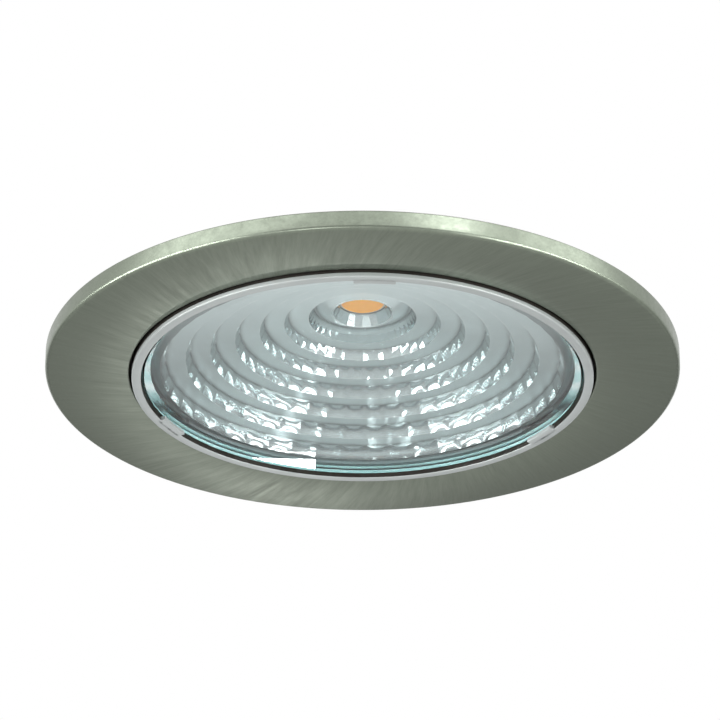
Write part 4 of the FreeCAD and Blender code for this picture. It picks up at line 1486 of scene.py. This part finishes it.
@dataclass
class CableGland:
    """Gland with a ribbed dome nut; its foot, washer and insert are the CAD ones.

    rib_places says where the ribs stand across a flat, and rib_levels each level's height and push.
    rib_root is the root's offset and half width, rib_flank the flank's share of the push and half width.
    """

    offset: float = 16.5
    hex_width: float = 15.0
    hex_round: float = 0.35
    nut_low: float = 23.9
    nut_top: float = 30.5
    nut_sides: int = 144
    foot_limit: float = 7.9
    foot_bevel: float = 0.35
    corner_limit: float = 8.6
    shoulder_share: float = 0.56
    crown_width: float = 1.1
    dome_power: float = 0.9
    dome_steps: int = 8
    mouth: float = 4.1
    mouth_bevel: float = 0.25
    inside: float = 6.05
    inside_top: float = 29.1
    flats: int = 6
    first_flat: float = 30.0
    rib_places: tuple[float, ...] = (-2.6, -1.3, 0.0, 1.3, 2.6)
    rib_levels: tuple[Point2, ...] = ((0.7, 0.0), (0.95, 0.28), (3.2, 0.28), (3.5, 0.0))
    rib_root: Point2 = (-0.4, 0.3)
    rib_flank: Point2 = (0.6, 0.26)

    def hex_radius(self, angle: float) -> float:
        """Distance to a hexagon's side at an angle, softened at the corners."""
        sector = math.pi / 3
        off = (angle + sector / 2) % sector - sector / 2
        flat = self.hex_width / 2 / math.cos(off - math.copysign(sector / 2, off) if off else sector / 2)
        limit = self.hex_width / 2 / math.cos(sector / 2) - self.hex_round
        return min(flat, limit)

    def nut(self) -> bpy.types.Object:
        """Hexagon below that runs into a dome, with a bore through it."""
        angles = [2 * math.pi * i / self.nut_sides for i in range(self.nut_sides)]
        shoulder = self.nut_low + self.shoulder_share * (self.nut_top - self.nut_low)
        crown = self.mouth + self.crown_width
        outside = [
            (self.foot_limit, self.nut_low),
            (self.corner_limit, self.nut_low + self.foot_bevel),
            (self.corner_limit, shoulder),
        ]
        for i in range(1, self.dome_steps + 1):
            turn = math.pi / 2 * i / self.dome_steps
            share = math.cos(turn) ** self.dome_power if i < self.dome_steps else 0.0
            height = shoulder + (self.nut_top - shoulder) * math.sin(turn)
            outside.append((crown + (self.corner_limit - crown) * share, height))
        inner = [
            (self.mouth + self.mouth_bevel, self.nut_top),
            (self.mouth, self.nut_top - self.mouth_bevel),
            (self.mouth, self.inside_top),
            (self.inside, self.inside_top),
            (self.inside, self.nut_low),
        ]
        hexagon = [self.hex_radius(angle) for angle in angles]
        rows = [
            [polar(min(side, limit), angle, height, self.offset) for side, angle in zip(hexagon, angles)]
            for limit, height in outside
        ]
        rows += [[polar(radius, angle, height, self.offset) for angle in angles] for radius, height in inner]
        shell = Shell()
        shell.rows(rows, True, True)
        return shell.finish("dome_nut", sharp=28)

    def rib_sector(self) -> bpy.types.Mesh:
        """Five grip ribs on the flat that faces +X once turned."""
        shell = Shell()
        (root, root_half), (flank, flank_half) = self.rib_root, self.rib_flank
        for place in self.rib_places:
            rows = []
            for level, push in self.rib_levels:
                side = push * flank
                section = (
                    (root, root_half),
                    (side, flank_half),
                    (push, 0.0),
                    (side, -flank_half),
                    (root, -root_half),
                )
                height = self.nut_low + level
                rows.append([Vector((self.hex_width / 2 + out, place + way, height)) for out, way in section])
            first, count = len(shell.mesh.verts), len(section)
            shell.rows(rows, True, False)
            for row in (0, len(rows) - 1):
                shell.cap(first + count * row, count)
        return shell.as_sector("rib_sector")

    def build(self, shelf: FinishShelf, copies: RingOfCopies) -> None:
        """Make the nut with its ribs and dress the rest."""
        ribs = copies.run(
            "nut_ribs",
            self.rib_sector(),
            Count=self.flats,
            First_Angle=math.radians(self.first_flat),
            Centre=(0.0, self.offset * MM, 0.0),
            Material=shelf["black_nylon"],
        )
        whole = join("ribbed_nut", [self.nut(), ribs], sharp=28)
        settle(wear(whole, shelf["black_nylon"]), "black_nylon", "gland_nut")
        shelf.dress_node("gland_body", "black_nylon")
        shelf.dress_node("gland_washer", "black_rubber")
        shelf.dress_node("gland_insert", "black_rubber")


@dataclass
class SpringClip:
    """One clip: bracket, pin, arm, sleeve and the torsion spring that pushes it."""

    side: Side
    pin_reach: float = 36.0
    pin_z: float = 16.2
    coil: float = 2.15
    wire: float = 0.42
    wire_sides: int = 14
    turns: int = 5
    end_turn: float = 0.25
    turn_stations: int = 28
    pitch: float = 1.05
    slope: float = 0.2822
    leg: float = 8.0
    leg_shares: tuple[float, ...] = (0.3, 0.6, 1.0)
    foot_low: float = 13.45
    foot_high: float = 14.6
    blend_margin: float = 0.1

    def spring_path(self) -> list[Vector]:
        """Foot, coil and leg on one line, on the +X side."""
        turns = self.turns + self.end_turn + self.slope / (2 * math.pi)
        length = turns * self.pitch
        centre = Vector((self.pin_reach, 0, self.pin_z))
        points = [
            centre + Vector((-self.coil, -length / 2, level - self.pin_z))
            for level in (self.foot_low, self.foot_high)
        ]
        stations = int(turns * self.turn_stations)
        for i in range(stations + 1):
            share = i / stations
            turn = math.pi + 2 * math.pi * turns * share
            across, up = self.coil * math.cos(turn), -self.coil * math.sin(turn)
            points.append(centre + Vector((across, length * (share - 0.5), up)))
        out = Vector((math.cos(self.slope), 0, -math.sin(self.slope)))
        coil_end = points[-1]
        points += [coil_end + out * self.leg * share for share in self.leg_shares]
        return points

    def build(self, shelf: FinishShelf, wires: WireOnPath) -> None:
        """Make the spring and dress the rest."""
        turned = Matrix.Rotation(0 if self.side is Side.RIGHT else math.pi, 3, "Z")
        line = WireOnPath.line([turned @ point for point in self.spring_path()])
        name = "torsion_spring_" + self.side.word
        radius, steel = self.wire * MM, shelf["spring_wire"]
        sides = self.wire_sides
        spring = wires.run(name, line, sharp=60, Wire_Radius=radius, Sides=sides, Material=steel)
        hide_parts("clip_spring_" + self.side.word)
        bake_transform(spring)
        log.info("piece %s winds from the fitting to %s", name, self.side.body.value)
        for node, slot in (
            ("clip_bracket_", "zinc_steel"),
            ("hinge_pin_", "screw_steel"),
            ("pin_circlip_", "spring_steel"),
            ("clip_arm_", "spring_steel"),
            ("clip_sleeve_", "clip_rubber"),
        ):
            shelf.dress_node(node + self.side.word, slot)


@dataclass
class BracketScrews:
    """The four screws that hold both brackets."""

    reach: float = 41.5
    apart: float = 2.5
    seat: float = 13.0
    screw: ScrewSize = ScrewSize(1.9, 1.0, 1.25, 6.0, 0.6)

    def build(self, shelf: FinishShelf, screws: CrossScrews) -> None:
        """Make all four as one piece."""
        places = [
            Vector((side.value * self.reach, way * self.apart, self.seat)) for side in Side for way in (-1, 1)
        ]
        heads = screws.fit("bracket_fixings", places, self.screw, HeadFacing.UP, shelf["screw_steel"])
        settle(heads, "screw_steel", "bracket_screws")


# ------------------------------------------------------------------ studio


@dataclass(frozen=True)
class Lamp:
    """Soft area lamp: where it stands, how wide it is and how strong."""

    name: str
    direction: tuple[float, float, float]
    distance: float
    size: Point2
    watts: float

    def build(self) -> None:
        """Place the lamp and aim it at the fitting."""
        data = bpy.data.lights.new(self.name, "AREA")
        data.shape = "RECTANGLE"
        data.size, data.size_y = self.size
        data.energy = self.watts
        item = bpy.data.objects.new(self.name, data)
        item.location = Vector(self.direction).normalized() * self.distance
        item.rotation_euler = item.location.to_track_quat("Z", "Y").to_euler()
        bpy.context.scene.collection.objects.link(item)


@dataclass
class Studio:
    """Floor, white surroundings, lamps and the camera of the photograph.

    Lengths are in metres, the aim's height in millimetres and the camera's elevation in degrees.
    """

    floor_height: float = -0.9
    floor_reach: float = 6.0
    surround: float = 0.62
    room_back: float = -0.75
    room_front: float = -0.2
    room_glow: float = 0.3
    card_near: float = 0.7
    card_far: float = 2.4
    near_glow: float = 0.97
    card_glow: float = 0.2
    aim_height: float = -3.7
    camera_elevation: float = 26.35
    camera_distance: float = 0.72
    lens: float = 190.05
    shift: Point2 = (-0.0036, 0.0285)
    lamps: tuple[Lamp, ...] = (
        Lamp("near_wall_lamp", (0.46, -0.77, 0.46), 1.1, (0.36, 0.4), 3.6),
        Lamp("left_wall_lamp", (-0.72, -0.55, 0.48), 1.1, (1.0, 0.6), 5.2),
        Lamp("front_wall_lamp", (-0.08, -0.9, 0.5), 1.1, (0.8, 0.6), 2.4),
        Lamp("right_wall_lamp", (0.9, -0.3, 0.45), 1.1, (0.7, 0.5), 3.0),
        Lamp("left_riser_lamp", (-0.93, -0.33, -0.08), 1.0, (0.95, 0.1), 6.5),
        Lamp("left_low_lamp", (-0.93, -0.33, -0.27), 1.0, (0.95, 0.08), 4.0),
        Lamp("right_riser_lamp", (0.88, -0.45, -0.1), 1.1, (0.85, 0.1), 5.0),
        Lamp("right_low_lamp", (0.88, -0.45, -0.29), 1.1, (0.85, 0.08), 3.6),
        Lamp("collar_left_lamp", (-0.25, -0.84, -0.47), 1.0, (0.17, 0.14), 1.2),
        Lamp("collar_right_lamp", (0.68, -0.6, -0.415), 1.0, (0.17, 0.14), 1.2),
        Lamp("under_lamp", (0.1, 0.3, -0.95), 1.2, (0.8, 0.8), 4.0),
        Lamp("glass_glint_lamp", (-0.050, 0.914, -0.3871), 0.637, (0.030, 0.027), 0.055),
    )

    def world(self) -> None:
        """White to the camera, softer as light, and in gloss and glass dimmer behind the camera."""
        world = bpy.data.worlds.new("pale_surround")
        bpy.context.scene.world = world
        world.use_nodes = True
        maker = TreeMaker(world.node_tree)
        world.node_tree.nodes.clear()
        rays = maker.add("ShaderNodeLightPath").outputs
        mirrored = maker.mirrored(rays)
        place = maker.add("ShaderNodeTexCoord").outputs["Object"]
        across = maker.add("ShaderNodeSeparateXYZ", {0: place})
        dim, white = self.room_glow - self.surround, 1.0 - self.surround
        room = maker.remap(across.outputs["Y"], self.room_back, self.room_front, dim, white)
        strength = maker.maths("ADD", maker.maths("MULTIPLY", mirrored, room), self.surround)
        strength = maker.maths("MAXIMUM", strength, rays["Is Camera Ray"])
        back = maker.add("ShaderNodeBackground", {"Color": (1, 1, 1, 1), "Strength": strength})
        maker.add("ShaderNodeOutputWorld", {"Surface": back.outputs[0]})

    def floor(self) -> None:
        """Large pale floor far below, faintly mottled; its mirrored glow falls off towards +Y."""
        shell = Shell()
        reach, height = self.floor_reach / MM, self.floor_height / MM
        rows = [[Vector((x, y, height)) for x in (-reach, 0, reach)] for y in (-reach, 0, reach)]
        shell.rows(rows, False, False)
        item = shell.finish("pale_floor", closed=False)
        surface = Surface("pale_floor")
        cloud = surface.remap(surface.noise(surface.place, 3.0, 3.0), 0.3, 0.7, 0.0, 1.0)
        surface.set(Base_Color=surface.tint(cloud, (0.86, 0.86, 0.86), (0.9, 0.9, 0.9)), Roughness=0.9)
        rays = surface.add("ShaderNodeLightPath").outputs
        across = surface.add("ShaderNodeSeparateXYZ", {0: surface.place})
        y = across.outputs["Y"]
        card = surface.remap(y, self.card_near, self.card_far, self.near_glow, self.card_glow)
        glow = surface.add("ShaderNodeEmission", {"Color": (1, 1, 1, 1), "Strength": card})
        surface.swap(surface.mirrored(rays), glow)
        wear(item, surface.material)

    def camera(self) -> None:
        """Camera below the fitting, in front of it."""
        data = bpy.data.cameras.new("photo_camera")
        data.lens = self.lens
        data.sensor_width = 36.0
        data.shift_x, data.shift_y = self.shift
        data.clip_end = 50.0
        item = bpy.data.objects.new("photo_camera", data)
        rise = math.radians(self.camera_elevation)
        forward = Vector((0, math.cos(rise), math.sin(rise)))
        up = Vector((0, -math.sin(rise), math.cos(rise)))
        right = Vector((1, 0, 0))
        place = Vector((0, 0, self.aim_height * MM)) - forward * self.camera_distance
        turn = Matrix((right, up, -forward)).transposed()
        item.matrix_world = Matrix.Translation(place) @ turn.to_4x4()
        bpy.context.scene.collection.objects.link(item)
        bpy.context.scene.camera = item

    def build(self) -> None:
        """Set up everything round the fitting."""
        bpy.context.scene.view_settings.view_transform = "Standard"
        self.world()
        self.floor()
        for lamp in self.lamps:
            lamp.build()
        self.camera()


def main() -> None:
    """Build the fitting's looks in order, then the studio."""
    shelf = FinishShelf()
    copies, screws, wires = RingOfCopies(), CrossScrews(), WireOnPath()
    TrimUnit().build(shelf, copies)
    GlassUnit().build(shelf)
    ReflectorUnit().build(shelf, copies)
    LightSource().build(shelf, screws)
    FinnedBody().build(shelf, screws)
    CableGland().build(shelf, copies)
    BracketScrews().build(shelf, screws)
    for side in Side:
        SpringClip(side).build(shelf, wires)
    Studio().build()


if __name__ == "__main__":
    main()
